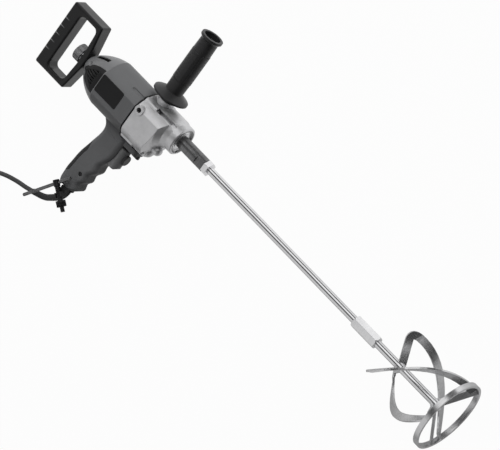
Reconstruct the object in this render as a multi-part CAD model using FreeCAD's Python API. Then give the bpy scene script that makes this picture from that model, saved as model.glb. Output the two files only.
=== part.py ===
import FreeCAD, Part
import math
import os
from FreeCAD import Placement, Rotation, Vector

# A mixing drill: a corded drill motor with a two-stage gear case, a side handle, a rear loop
# handle and a long rod that ends in a three-blade paddle inside a ring.
# While it is built, X runs along the spindle to the paddle, Y to the top of the tool and Z to its
# right side, from the spindle axis at the front of the nose. The finished tool lies on its left
# side, so Z is also up. Sizes are millimetres and angles are degrees.

# Fits
running_gap = 0.05    # shaft in its bearing, on the radius
seat_gap = 0.02       # pieces that are pressed or clamped together
moving_gap = 0.35     # faces that move past each other
through = 1.0         # how far a cutting tool passes the face that it cuts

# Lengths along the motor
case_length = 77.0
plate_thickness = 3.0
barrel_length = 70.0
cover_length = 50.0
case_back = -case_length
barrel_front = case_back - plate_thickness
barrel_back = barrel_front - barrel_length
cover_back = barrel_back - cover_length

# Housing section
barrel_radius = 40.3
flat_cut = 4.3        # depth of the two flat sides
barrel_flat = barrel_radius - flat_cut
barrel_wall = 3.4
barrel_slot_angle = 37.7
barrel_slot_radius = 2.8
barrel_slot_sink = 1.9
barrel_slot_length = 25.0
cover_wall = 3.2
cover_end_radius = 10.5
cover_bulge = 5.6     # how far the dome's arc stands off its chord

# Gear case
case_lip = 0.7        # how far the case stands proud of the barrel
case_radius = barrel_radius + case_lip
case_flat = barrel_flat + 0.5
case_wall = 4.2
shoulder = [(-12.0, 24.5), (-20.0, 28.0), (-27.0, 36.5), (-34.0, 60.0)]    # turned front: place and radius
collar_radius = 24.5
collar_back = -21.0
collar_edge = 1.5
front_wall = 9.0
column_sink = 4.1     # axis of the screw columns below the face of the case
column_angle = 32.83  # and its angle from straight up or down
column_rise = (case_radius - column_sink) * math.cos(math.radians(column_angle))
column_side = (case_radius - column_sink) * math.sin(math.radians(column_angle))
column_radius = 6.0
screw_seat = -52.0
channel_radius = 4.0
screw_head_radius = 3.6
screw_head_height = 4.0
screw_radius = 2.3
screw_reach = 18.0    # into the motor housing
boss_x = -69.0        # threaded sockets on the sides
boss_rise = 19.0      # above the motor axis
boss_radius = 7.9
boss_height = 1.5
socket_radius = 4.0
socket_depth = 12.0
lobes = [(-35.0, 10.5, 9.5), (-23.0, 21.5, 8.0)]    # round bosses low on the front: end, height, radius
lobe_z = 4.0

# Gears
pressure_angle = 25.0
addendum = 0.7
dedendum = 0.95
backlash = 0.12
case_per_module = 41.0    # the gear train fills the case
output_module = case_radius / case_per_module
output_teeth = 32
output_pinion_teeth = 8
motor_module = 0.8 * output_module
motor_drop = 17.0 * output_module    # motor axis below the spindle axis
motor_y = -motor_drop
boss_y = motor_y + boss_rise
motor_gear_teeth = 34
motor_pinion_teeth = 8
output_gear_front = -28.0
output_gear_width = 14.0
motor_gear_front = -51.0
motor_gear_width = 10.0
output_centres = output_module * (output_teeth + output_pinion_teeth) / 2
motor_centres = motor_module * (motor_gear_teeth + motor_pinion_teeth) / 2
lay_rise = (motor_centres**2 - output_centres**2 + motor_drop**2) / (2 * motor_drop)
lay_y = motor_y + lay_rise
lay_z = -math.sqrt(motor_centres**2 - lay_rise**2)

# Spindle and its bearings
spindle_radius = 10.5
spindle_reach = 53.0
spindle_flat = 16.0
spindle_across = 17.0
spindle_seat_radius = 10.0
spindle_gear_radius = 8.0
tail_clearance = 0.84
spindle_tail_radius = output_centres - motor_module * (motor_gear_teeth / 2 + addendum) - tail_clearance
bearing_radius = 21.0
bearing_width = 12.0
bearing_front = -2.0
bearing_race = 3.0
shield_depth = 1.2
clip_thickness = 1.2
clip_depth = 0.9
clip_inner = 18.2
clip_opening = 9.0
bush_wall = 3.0
bush_length = 8.0
lay_journal = output_module * (output_pinion_teeth / 2 - dedendum) - running_gap
lay_seat = 5.0
boss_wall = 2.5
thread_radius = 6.5
thread_depth = 17.0

# Motor
front_bearing_radius = 11.0
front_bearing_width = 7.0
front_shaft_radius = 4.0
rear_bearing_radius = 9.5
rear_bearing_width = 6.0
rear_shaft_radius = 3.5
core_shaft_radius = 6.0
rear_bearing_back = 24.0      # from the back of the cover
cup_wall = 4.0
fan_front = 10.5              # behind the front of the barrel
fan_width = 5.0
fan_hub = 9.0
fan_blades = 12
fan_blade_thickness = 1.6
stack_front = 22.0            # lamination stack, behind the front of the barrel
stack_length = 38.0
stator_gap = 1.1
stator_radius = barrel_flat - barrel_wall - stator_gap
fan_radius = stator_radius - moving_gap
stator_yoke = 5.0
pole_depth = 6.5
core_radius = stator_radius - stator_yoke - pole_depth
air_gap = 0.6
core_slots = 12
slot_width = 3.4
slot_depth = 7.0
winding_sink = 2.5
winding_radius = core_radius - winding_sink
winding_length = 5.5
coil_overhang = 4.5
pole_angle = 52.0
coil_angle = 80.0
commutator_wall = 6.0
commutator_radius = core_shaft_radius + commutator_wall
commutator_front = 2.0        # behind the back of the barrel
commutator_length = 12.0
bridge_thickness = 3.5
bridge_hole = core_radius - 1.5
post_rise = 9.0
post_inset = 10.6             # from the inside of the flat
post_side = barrel_flat - barrel_wall - post_inset
post_radius = 4.5
post_length = 20.0
cover_screw_radius = 1.9
cover_screw_head = 3.2
cover_screw_seat = 30.0       # behind the back of the barrel
brush_half = 4.0
holder_wall = 1.4
holder_clearance = 10.1       # from the brush holder to the inside of the cover at its front
holder_reach = barrel_radius - cover_wall - commutator_radius - holder_clearance
brush_length = holder_reach - 2 * through

# Vents in the rear cover, with heights from the motor axis
vent_rim = 1.5
vent_length = 41.0
vent_top = 23.0
vent_crown = 16.5
vent_tip = -2.5
vent_belly = -11.5
vent_low = -19.0
vent_band = 7.0
vent_recess = 1.0
louvres = 6
louvre_width = 1.6
louvre_pitch = 4.2
slot_angle = 30.0
top_slot_front = 14.0
top_slot_back = 37.0
top_slot_width = 6.5

# Rear loop handle
loop_half_height = 57.0
loop_half_width = 13.0
loop_band = 10.0
loop_apex_half = 13.0
loop_slope = 7.5              # how far the corners lie behind the apex
loop_corner_band = 6.5        # and the band's depth there
loop_depth = 71.0
loop_bar = 21.3
loop_round = 3.0
window_corner = 8.0
window_round = 3.0
grip_grooves = 5
groove_width = 1.2
groove_depth = 1.5
groove_pitch = 14.0
stud_radius = 5.0
stud_depth = 8.0
washer_radius = 11.0
washer_thickness = 1.6
knob_radius = 14.0
knob_length = 13.0
knob_scallops = 8
scallop_radius = 4.0
knob_dome = 2.5

# Side handle
side_x = -60.0
side_boss_height = 6.0
side_seat_y = motor_y + case_radius + side_boss_height
side_boss_radius = 14.0
side_stud_radius = 6.0
side_stud_depth = 12.0
side_neck_radius = 12.0
side_neck = 7.0
side_flange_radius = 29.0
side_flange = 2.6
side_cone = 7.5
side_grip_radius = 14.4
side_length = 119.7
side_end_radius = 17.8
side_end = 3.6
side_recess_radius = 13.5
side_recess = 9.0

# Tongue under the gear case, and the grip below it
tongue_front = -43.0
tongue_gap = 0.4
tongue_top = motor_y - case_radius - tongue_gap
tongue_depth = 8.0
tongue_half = 13.0
cover_top = tongue_top - tongue_depth - seat_gap

# Sections of the grip: drop below the tongue's top, back edge, front edge and half width
grip_sections = [
    (-13.4, -121.0, -80.5, 15.0),
    (0.1, -118.5, -68.0, 15.5),
    (10.6, -112.2, -68.0, 16.5),
    (33.6, -115.0, -69.5, 17.0),
    (51.6, -119.3, -76.5, 17.0),
    (61.6, -121.8, -80.0, 17.0),
    (72.1, -123.4, -79.4, 17.0),
    (84.6, -124.5, -86.0, 17.0),
    (95.6, -125.5, -85.0, 17.0),
    (102.6, -125.3, -89.6, 17.2),
    (109.1, -124.9, -89.4, 17.4),
    (114.6, -124.3, -88.5, 17.5),
    (120.1, -122.5, -93.5, 17.0),
]
grip_corner = 9.0
grip_split = 3.0
grip_wall = 3.6
grip_half = 17.0
pad_width = 9.0               # soft pad along the grip's rear edge
pad_end = 2.0
pad_top = 33.0                # its reach, below the tongue's top
pad_low = 103.0
grip_screw_x = -97.0
grip_screw_y = tongue_top - 88.6
grip_screw_radius = 1.9
grip_screw_head = 3.4
grip_boss_radius = 4.5

# Switch, trigger, speed dial, reverse lever and lock button
trigger_top = tongue_top - 13.1
trigger_low = tongue_top - 48.6
trigger_face = -58.0
trigger_back = -86.0
trigger_half = 11.0
trigger_travel = 7.0
switch_back = -106.5
dial_radius = 8.5
dial_y = tongue_top - 27.6
dial_height = 3.2
dial_stem_radius = 3.0
dial_stem = 9.0
dial_teeth = 18
lever_x = -53.0
lever_pin_radius = 3.0
lever_front = -41.5
lever_depth = 4.6
lever_half = 3.2
lock_x = -104.0
lock_y = tongue_top - 27.6
lock_radius = 4.5
lock_height = 3.0
lock_flange = 1.2
lock_flange_radius = 6.0
switch_half = 8.0

# Cord, boot, coil and plug
cord_radius = 3.5
boot_start_radius = 6.0
boot_end_radius = 4.6
boot_collar_radius = 8.5
boot_collar = 3.5
exit_x = -106.0
exit_y = tongue_top - grip_sections[-1][0]
boot_inside = 11.4
boot_straight = 7.0
boot_points = [(-106.0, -196.0, 0.0), (-120.0, -214.0, -12.0), (-145.0, -237.0, -28.4),
               (-168.0, -245.0, -30.0)]
cord_points = [(-200.0, -253.0, 3.6), (-226.0, -261.0, 3.6), (-248.0, -273.0, 4.2),
               (-270.0, -284.0, 5.0)]
coil_x = -325.0
coil_y = -235.0
coil_outer = 52.0
coil_pitch = 7.5
coil_turns_in = 3.0
coil_turns_out = 2.75
tie_thickness = 1.2
tie_width = 10.0
tie_angle = -30.0
tail_length = 22.0
plug_relief = 22.0
plug_length = 38.0
plug_half_width = 17.5
plug_half_height = 12.5
pin_radius = 2.4
pin_length = 19.0
pin_spacing = 19.0
clamp_thickness = 4.0

# Chuck key and its rubber holder
key_z = 24.0
key_top = (-116.5, exit_y - 3.0)
key_angle = -34.5
stem_radius = 4.0
stem_length = 27.0
head_radius = 5.0
bar_radius = 2.6
bar_before = 27.0             # T-bar beyond the stem, towards the grip
bar_after = 63.0
bar_angle = -122.5
key_pinion_radius = 7.5
key_pinion_length = 9.0
key_teeth = 11
pilot_radius = 3.2
pilot_length = 8.0
holder_clip = 18.0            # from the T-bar to the middle of the clip
clip_half = 4.0
clip_wall = 1.6
holder_wall_thickness = 2.6
holder_band = 6.0

# Rod, coupling and paddle
rod_radius = 6.0
collar_length = 9.0
collar_across = 20.0
coupling_start = 386.0
coupling_length = 47.0
coupling_across = 18.0
ring_front = 586.0
ring_radius = 60.0
ring_wall = 4.0
ring_height = 8.0
hub_x = 482.0
hub_radius = 7.4
hub_length = 9.0
low_hub_x = 560.0
low_hub_length = 12.0
blade_turn = -3.0              # angle of the first blade's bend from the top
blade_width = 12.0
blade_thickness = 3.0
blade_corner_radius = 49.0
blade_corner_x = 462.0
blade_wrap = 147.0
blade_count = 3
blade_bend = 0.09             # share of the helix that the bend takes
blade_lie = 25.0              # how far the blade has turned from its edge at the ring
spoke_lag = 11.0
spoke_pitch = 60.0


def rod_x(x0, x1, radius, y=0.0, z=0.0):
    return Part.makeCylinder(radius, x1 - x0, Vector(x0, y, z), Vector(1, 0, 0))


def tube_x(x0, x1, outer, inner, y=0.0, z=0.0):
    return rod_x(x0, x1, outer, y, z).cut(rod_x(x0 - through, x1 + through, inner, y, z))


def rod_y(y0, y1, radius, x, z=0.0):
    return Part.makeCylinder(radius, y1 - y0, Vector(x, y0, z), Vector(0, 1, 0))


def rod_z(z0, z1, radius, x, y):
    return Part.makeCylinder(radius, z1 - z0, Vector(x, y, z0), Vector(0, 0, 1))


def block(x0, x1, y0, y1, z0, z1):
    return Part.makeBox(x1 - x0, y1 - y0, z1 - z0, Vector(x0, y0, z0))


def prism_z(points, z0, z1):
    corners = [Vector(x, y, z0) for x, y in points]
    wire = Part.makePolygon(corners + corners[:1])
    return Part.Face(wire).extrude(Vector(0, 0, z1 - z0))


def slab(half_width):
    far = 1000.0
    return block(-far, far, -far, far, -half_width, half_width)


def flat_sided(x0, x1, radius, half_width):
    return rod_x(x0, x1, radius, motor_y).common(slab(half_width))


def turned_x(edges, y=0.0):
    face = Part.Face(Part.Wire(edges))
    return face.revolve(Vector(0, y, 0), Vector(1, 0, 0), 360)


def line(a, b):
    return Part.LineSegment(a, b).toShape()


def arc(a, b, c):
    return Part.Arc(a, b, c).toShape()


def hexagon_x(x0, x1, across):
    corner = across / math.sqrt(3)
    corners = []
    for i in range(6):
        angle = math.radians(60 * i)
        corners.append(Vector(x0, corner * math.cos(angle), corner * math.sin(angle)))
    wire = Part.makePolygon(corners + corners[:1])
    return Part.Face(wire).extrude(Vector(x1 - x0, 0, 0))


def fused(shapes):
    return shapes[0].multiFuse(shapes[1:]).removeSplitter()


def column_places():
    for up in (1, -1):
        for side in (1, -1):
            yield motor_y + up * column_rise, side * column_side


def post_places():
    for up in (1, -1):
        for side in (1, -1):
            yield motor_y + up * post_rise, side * post_side


def columns(x0, x1, radius):
    return [rod_x(x0, x1, radius, y, z) for y, z in column_places()]


# Involute spur gear with a tooth centred on the given direction, seen along X
def gear(teeth, module, x0, width, direction):
    pitch_radius = module * teeth / 2
    base = pitch_radius * math.cos(math.radians(pressure_angle))
    tip = pitch_radius + addendum * module
    root = pitch_radius - dedendum * module
    low = max(base, root)
    half_tooth = math.pi / (2 * teeth) - backlash / (4 * pitch_radius)

    def involute(radius):
        slope = math.acos(min(1.0, base / radius))
        return math.tan(slope) - slope

    def flank(radius):
        return half_tooth + involute(pitch_radius) - involute(max(radius, base))

    def at(radius, angle):
        return Vector(x0, radius * math.cos(angle), radius * math.sin(angle))

    middle = (low + tip) / 2
    step = 2 * math.pi / teeth
    edges = []
    for i in range(teeth):
        mid = math.radians(direction) + i * step
        start = at(low, mid - flank(low))
        end = at(low, mid + flank(low))
        foot = at(root, mid - flank(low))
        if root < low:
            edges.append(line(foot, start))
        edges.append(arc(start, at(middle, mid - flank(middle)), at(tip, mid - flank(tip))))
        edges.append(arc(at(tip, mid - flank(tip)), at(tip, mid), at(tip, mid + flank(tip))))
        edges.append(arc(at(tip, mid + flank(tip)), at(middle, mid + flank(middle)), end))
        leave = at(root, mid + flank(low))
        if root < low:
            edges.append(line(end, leave))
        arrive = at(root, mid + step - flank(low))
        edges.append(arc(leave, at(root, mid + step / 2), arrive))
    return Part.Face(Part.Wire(edges)).extrude(Vector(width, 0, 0))


def direction_to(y0, z0, y1, z1):
    return math.degrees(math.atan2(z1 - z0, y1 - y0))


def output_gear_shape():
    toward = direction_to(0, 0, lay_y, lay_z)
    back = output_gear_front - output_gear_width
    wheel = gear(output_teeth, output_module, back, output_gear_width, toward)
    bore = rod_x(output_gear_front - output_gear_width - through, output_gear_front + through,
                 spindle_gear_radius + seat_gap)
    return wheel.cut(bore)


def moved_to_lay(shape):
    shape.translate(Vector(0, lay_y, lay_z))
    return shape


def lay_gear_shape():
    toward = direction_to(lay_y, lay_z, motor_y, 0)
    back = motor_gear_front - motor_gear_width
    wheel = gear(motor_gear_teeth, motor_module, back, motor_gear_width, toward)
    bore = rod_x(back - through, motor_gear_front + through, lay_seat + seat_gap)
    return moved_to_lay(wheel.cut(bore))


def lay_shaft_shape():
    pinion_back = output_gear_front - output_gear_width - through
    pinion_width = output_gear_width + 2 * through
    half_step = 180.0 / output_pinion_teeth
    toward = direction_to(lay_y, lay_z, 0, 0) + half_step
    pinion = gear(output_pinion_teeth, output_module, pinion_back, pinion_width, toward)
    shaft_back = case_back + through + moving_gap
    gear_back = motor_gear_front - motor_gear_width
    journal = rod_x(shaft_back, bearing_front - front_wall - bearing_width + through, lay_journal)
    seat = rod_x(gear_back - through, motor_gear_front + through, lay_seat)
    middle = rod_x(motor_gear_front, pinion_back + through, lay_journal)
    return moved_to_lay(fused([journal, seat, middle, pinion]))


def armature_shaft_shape():
    gear_back = motor_gear_front - motor_gear_width
    half_step = 180.0 / motor_pinion_teeth
    toward = direction_to(motor_y, 0, lay_y, lay_z) + half_step
    width = motor_gear_width + 2 * through
    pinion = gear(motor_pinion_teeth, motor_module, gear_back - through, width, toward)
    pinion.translate(Vector(0, motor_y, 0))
    stack_x = barrel_front - stack_front
    rear_x = cover_back + rear_bearing_back
    front = rod_x(stack_x, gear_back - through, front_shaft_radius, motor_y)
    middle = rod_x(rear_x + rear_bearing_width + through, stack_x, core_shaft_radius, motor_y)
    rear = rod_x(rear_x - through, rear_x + rear_bearing_width + through, rear_shaft_radius, motor_y)
    return fused([pinion, front, middle, rear])


# Form that the front of the case is turned to, about the spindle; the inset gives its inside
def case_front(inset):
    points = [Vector(x - inset, radius - inset, 0) for x, radius in shoulder]
    back = case_back - 2 * through
    reach = motor_drop + case_radius + through
    rim = points[-1]
    chain = [Vector(points[0].x, 0, 0)] + points
    if reach > rim.y:
        chain.append(Vector(rim.x, reach, 0))
    chain += [Vector(back, max(reach, rim.y), 0), Vector(back, 0, 0)]
    return turned_x([line(chain[i], chain[(i + 1) % len(chain)]) for i in range(len(chain))])


def gear_case_shape():
    body = flat_sided(case_back, collar_back / 2, case_radius, case_flat)
    pieces = [body] + columns(case_back, collar_back / 2, column_radius)
    outer = fused(pieces).common(case_front(0))
    channels = []
    for y, z in column_places():
        channels.append(rod_x(screw_seat, through, channel_radius, y, z))
        out = 1 + channel_radius / math.hypot(column_rise, column_side)
        channels.append(rod_x(screw_seat, through, channel_radius, motor_y + (y - motor_y) * out, z * out))
    outer = outer.cut(channels)
    collar = rod_x(collar_back, 0, collar_radius)
    mouth = [e for e in collar.Edges if abs(e.CenterOfMass.x) < collar_edge / 2]
    collar = collar.makeChamfer(collar_edge, mouth)
    wall_back = -bearing_width + bearing_front - front_wall - through
    lay_boss = rod_x(wall_back, wall_back + bush_length + 2 * through, lay_journal + bush_wall + boss_wall,
                     lay_y, lay_z)
    top_boss = rod_y(motor_y + case_radius - case_wall - 2 * through, side_seat_y, side_boss_radius, side_x)
    pieces = [outer, collar, lay_boss, top_boss]
    for x, height, radius in lobes:
        y = motor_y - case_radius + height
        pieces.append(rod_x(x - 2 * radius, x, radius, y, lobe_z))
        pieces.append(Part.makeSphere(radius, Vector(x, y, lobe_z)))
    for side in (1, -1):
        low, high = sorted((side * (case_flat - case_wall), side * (case_flat + boss_height)))
        pieces.append(rod_z(low, high, boss_radius, boss_x, boss_y))
    outer = fused(pieces)

    cavity = flat_sided(case_back - through, wall_back, case_radius - case_wall, case_flat - case_wall)
    cavity = cavity.common(case_front(case_wall))
    cavity = cavity.cut(fused(columns(case_back - 2 * through, 0, column_radius)))
    inner_bosses = []
    for side in (1, -1):
        low, high = sorted((side * (case_flat + boss_height - socket_depth), side * case_flat))
        inner_bosses.append(rod_z(low, high, socket_radius + boss_wall, boss_x, boss_y))
    cavity = cavity.cut(fused(inner_bosses))
    shape = outer.cut(cavity)

    gear_tip = output_module * (output_teeth / 2 + addendum)
    cuts = [rod_x(bearing_front - bearing_width, through, bearing_radius)]
    cuts.append(rod_x(wall_back - through, 0, spindle_seat_radius + boss_wall))
    cuts.append(rod_x(motor_gear_front, wall_back, gear_tip + through))
    groove_front = bearing_front + clip_thickness + 2 * seat_gap
    cuts.append(rod_x(bearing_front, groove_front, bearing_radius + clip_depth))
    cuts.append(rod_x(wall_back - through, wall_back + bush_length, lay_journal + bush_wall, lay_y, lay_z))
    for y, z in column_places():
        cuts.append(rod_x(case_back - through, screw_seat + through, screw_radius + seat_gap, y, z))
    for side in (1, -1):
        floor = side * (case_flat + boss_height - socket_depth)
        low, high = sorted((floor, side * (case_flat + 2 * boss_height)))
        cuts.append(rod_z(low, high, socket_radius, boss_x, boss_y))
    cuts.append(rod_y(side_seat_y - side_stud_depth - through, side_seat_y + through,
                      side_stud_radius + running_gap, side_x))
    return shape.cut(cuts)


def gear_case_screws_shape():
    screws = []
    for y, z in column_places():
        head = rod_x(screw_seat, screw_seat + screw_head_height, screw_head_radius, y, z)
        shank = rod_x(barrel_front - screw_reach, screw_seat, screw_radius, y, z)
        screws.append(head.fuse(shank).removeSplitter())
    return Part.makeCompound(screws)


def bearing_plate_shape():
    rim = [rod_x(barrel_front, case_back, case_radius, motor_y)]
    rim += columns(barrel_front, case_back, column_radius)
    plate = fused(rim).common(slab(case_flat - case_wall))
    boss_front = case_back + bush_length + through
    spindle_boss = rod_x(barrel_front, boss_front, spindle_tail_radius + bush_wall + boss_wall)
    lay_boss = rod_x(barrel_front, boss_front, lay_journal + bush_wall + boss_wall, lay_y, lay_z)
    cup_back = barrel_front - front_bearing_width - through
    cup = rod_x(cup_back, case_back, front_bearing_radius + cup_wall, motor_y)
    shape = fused([plate, spindle_boss, lay_boss, cup])
    bush_back = boss_front - bush_length
    cuts = [rod_x(bush_back, boss_front + through, spindle_tail_radius + bush_wall)]
    cuts.append(rod_x(bush_back, boss_front + through, lay_journal + bush_wall, lay_y, lay_z))
    cuts.append(rod_x(cup_back - through, barrel_front, front_bearing_radius, motor_y))
    cuts.append(rod_x(cup_back, case_back + through, front_shaft_radius + through, motor_y))
    cuts += columns(barrel_front - through, case_back + through, screw_radius + seat_gap)
    return shape.cut(cuts)


def bearing_shape(x0, width, outer, inner, y, shield):
    shape = tube_x(x0, x0 + width, outer - seat_gap, inner + running_gap, y)
    if shield:
        groove = tube_x(x0 + width - shield_depth, x0 + width + through, outer - bearing_race,
                        inner + bearing_race, y)
        shape = shape.cut(groove)
    return shape


def retaining_ring_shape():
    ring = tube_x(bearing_front + seat_gap, bearing_front + clip_thickness, bearing_radius + clip_depth - seat_gap,
                  clip_inner)
    gap = block(bearing_front - through, through, -bearing_radius - 2 * through, 0,
                -clip_opening / 2, clip_opening / 2)
    return ring.cut(gap)


def spindle_bush_shape():
    front = case_back + bush_length + through
    return tube_x(front - bush_length, front, spindle_tail_radius + bush_wall - seat_gap,
                  spindle_tail_radius + running_gap)


def lay_bushes_shape():
    rear_front = case_back + bush_length + through
    wall_back = -bearing_width + bearing_front - front_wall - through
    bushes = []
    for x0 in (rear_front - bush_length, wall_back):
        bushes.append(tube_x(x0, x0 + bush_length, lay_journal + bush_wall - seat_gap, lay_journal + running_gap,
                             lay_y, lay_z))
    return Part.makeCompound(bushes)


def spindle_shape():
    tail = rod_x(case_back + through + moving_gap, output_gear_front - output_gear_width, spindle_tail_radius)
    seat = rod_x(output_gear_front - output_gear_width, output_gear_front + through, spindle_gear_radius)
    journal = rod_x(output_gear_front + through, -bearing_front / 4, spindle_seat_radius)
    nose = rod_x(-bearing_front / 4, spindle_reach, spindle_radius)
    shape = fused([tail, seat, journal, nose])
    flats = block(spindle_reach - spindle_flat, spindle_reach + through, -spindle_radius, spindle_radius,
                  spindle_across / 2, spindle_radius + through)
    shape = shape.cut([flats, flats.mirror(Vector(), Vector(0, 0, 1))])
    bore = rod_x(spindle_reach - thread_depth, spindle_reach + through, thread_radius + seat_gap)
    return shape.cut(bore)


def armature_core_shape():
    x1 = barrel_front - stack_front
    x0 = x1 - stack_length
    core = tube_x(x0, x1, core_radius, core_shaft_radius + seat_gap, motor_y)
    cuts = []
    for i in range(core_slots):
        slot = block(x0 - through, x1 + through, core_radius - slot_depth, core_radius + through,
                     -slot_width / 2, slot_width / 2)
        slot.rotate(Vector(), Vector(1, 0, 0), 360 * i / core_slots)
        slot.translate(Vector(0, motor_y, 0))
        cuts.append(slot)
    return core.cut(cuts)


def armature_windings_shape():
    front = barrel_front - stack_front
    back = front - stack_length
    inner = core_shaft_radius + seat_gap
    rings = [tube_x(front, front + winding_length, winding_radius, inner, motor_y)]
    rings.append(tube_x(back - winding_length, back, winding_radius, inner, motor_y))
    return Part.makeCompound(rings)


def commutator_shape():
    x1 = barrel_back - commutator_front
    return tube_x(x1 - commutator_length, x1, commutator_radius, core_shaft_radius + seat_gap, motor_y)


def cooling_fan_shape():
    x1 = barrel_front - fan_front
    x0 = x1 - fan_width
    hub = rod_x(x0, x1, fan_hub, motor_y)
    disc = rod_x(x0, x0 + fan_blade_thickness, fan_radius, motor_y)
    pieces = [hub, disc]
    for i in range(fan_blades):
        blade = block(x0, x1, 0, fan_radius - through, -fan_blade_thickness / 2, fan_blade_thickness / 2)
        blade.rotate(Vector(), Vector(1, 0, 0), 360 * i / fan_blades)
        blade.translate(Vector(0, motor_y, 0))
        pieces.append(blade)
    return fused(pieces).cut(rod_x(x0 - through, x1 + through, front_shaft_radius + seat_gap, motor_y))


# Sector of a disc around the motor axis, between two angles from the top
def sector(x0, x1, radius, angle0, angle1):
    wedge = Part.makeCylinder(radius, x1 - x0, Vector(), Vector(0, 0, 1), angle1 - angle0)
    turn = Placement(Vector(), Rotation(Vector(0, 1, 0), Vector(0, 0, 1), Vector(1, 0, 0), "ZXY"))
    wedge.Placement = turn
    wedge = wedge.copy()
    wedge.rotate(Vector(), Vector(1, 0, 0), angle0)
    wedge.translate(Vector(x0, motor_y, 0))
    return wedge


def both_poles(shape):
    other = shape.copy()
    other.rotate(Vector(0, motor_y, 0), Vector(1, 0, 0), 180)
    return [shape, other]


def stator_core_shape():
    x1 = barrel_front - stack_front
    x0 = x1 - stack_length
    yoke = tube_x(x0, x1, stator_radius, stator_radius - stator_yoke, motor_y)
    pole = sector(x0, x1, stator_radius - through, -pole_angle, pole_angle)
    pole = pole.cut(rod_x(x0 - through, x1 + through, core_radius + air_gap, motor_y))
    return fused([yoke] + both_poles(pole))


def field_coils_shape():
    x1 = barrel_front - stack_front + coil_overhang
    x0 = barrel_front - stack_front - stack_length - coil_overhang
    outer = stator_radius - stator_yoke - seat_gap
    inner = core_radius + 2 * air_gap
    hollow = rod_x(x0 - through, x1 + through, inner, motor_y)
    coil = sector(x0, x1, outer, -coil_angle, coil_angle).cut(hollow)
    window = sector(x0 + coil_overhang - seat_gap, x1 - coil_overhang + seat_gap, stator_radius,
                    -pole_angle - air_gap / 2, pole_angle + air_gap / 2)
    return Part.makeCompound(both_poles(coil.cut(window)))


def brush_bridge_shape():
    plate = flat_sided(barrel_back, barrel_back + bridge_thickness, barrel_radius - barrel_wall - seat_gap,
                       barrel_flat - barrel_wall - seat_gap)
    posts = [rod_x(barrel_back - post_length, barrel_back + bridge_thickness, post_radius, y, z)
             for y, z in post_places()]
    shape = fused([plate] + posts)
    cuts = [rod_x(barrel_back - through, barrel_back + bridge_thickness + through, bridge_hole, motor_y)]
    for y, z in post_places():
        cuts.append(rod_x(barrel_back - post_length - through, barrel_back, cover_screw_radius, y, z))
    return shape.cut(cuts)


def brush_holders_shape():
    x_mid = barrel_back - commutator_front - commutator_length / 2
    outer = brush_half + holder_wall
    y0 = motor_y + commutator_radius + through
    box = block(x_mid - outer, barrel_back, y0, y0 + holder_reach, -outer, outer)
    hole = block(x_mid - brush_half, x_mid + brush_half, y0 - through, y0 + holder_reach - holder_wall,
                 -brush_half, brush_half)
    return Part.makeCompound(both_poles(box.cut(hole)))


def carbon_brushes_shape():
    x_mid = barrel_back - commutator_front - commutator_length / 2
    half = brush_half - seat_gap
    y0 = motor_y + commutator_radius
    brush = block(x_mid - half, x_mid + half, y0 - through, y0 + brush_length, -half, half)
    brush = brush.cut(rod_x(x_mid - 2 * half, x_mid + 2 * half, commutator_radius + running_gap, motor_y))
    return Part.makeCompound(both_poles(brush))


# Domed rear cover: an arc swept round the motor axis, drawn in by a wall for the inside
def dome_arc(inset):
    front = Vector(barrel_back, barrel_radius - inset, 0)
    back = Vector(cover_back + inset, cover_end_radius, 0)
    chord = back.sub(front)
    outward = Vector(chord.y, -chord.x, 0).normalize()
    middle = front.add(back).multiply(0.5).add(outward.multiply(cover_bulge))
    return Part.Arc(front, middle, back)


def dome(inset):
    bow = dome_arc(inset)
    front = Vector(barrel_back, barrel_radius - inset, 0)
    back = Vector(cover_back + inset, cover_end_radius, 0)
    end = Vector(back.x, 0, 0)
    start = Vector(barrel_back, 0, 0)
    solid = turned_x([bow.toShape(), line(back, end), line(end, start), line(start, front)])
    solid.translate(Vector(0, motor_y, 0))
    return solid.common(slab(barrel_flat - inset))


# Side window of the cover, drawn from the side: its front stands at the barrel and its tip behind
def vent_window(side, inset):
    front = barrel_back - vent_rim - inset
    back = barrel_back - vent_rim - vent_length + inset
    low, high = sorted((side * core_shaft_radius, side * (barrel_radius + 2 * through)))

    def at(share, height):
        return Vector(front + (back - front) * share, motor_y + height, low)

    top = at(0, vent_top - inset)
    crown = at(0.5, vent_crown - inset)
    tip = at(1, vent_tip)
    belly = at(0.72, vent_belly + inset)
    bottom = at(0, vent_low + inset)
    outline = Part.Wire([arc(top, crown, tip), arc(tip, belly, bottom), line(bottom, top)])
    return Part.Face(outline).extrude(Vector(0, 0, high - low))


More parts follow.
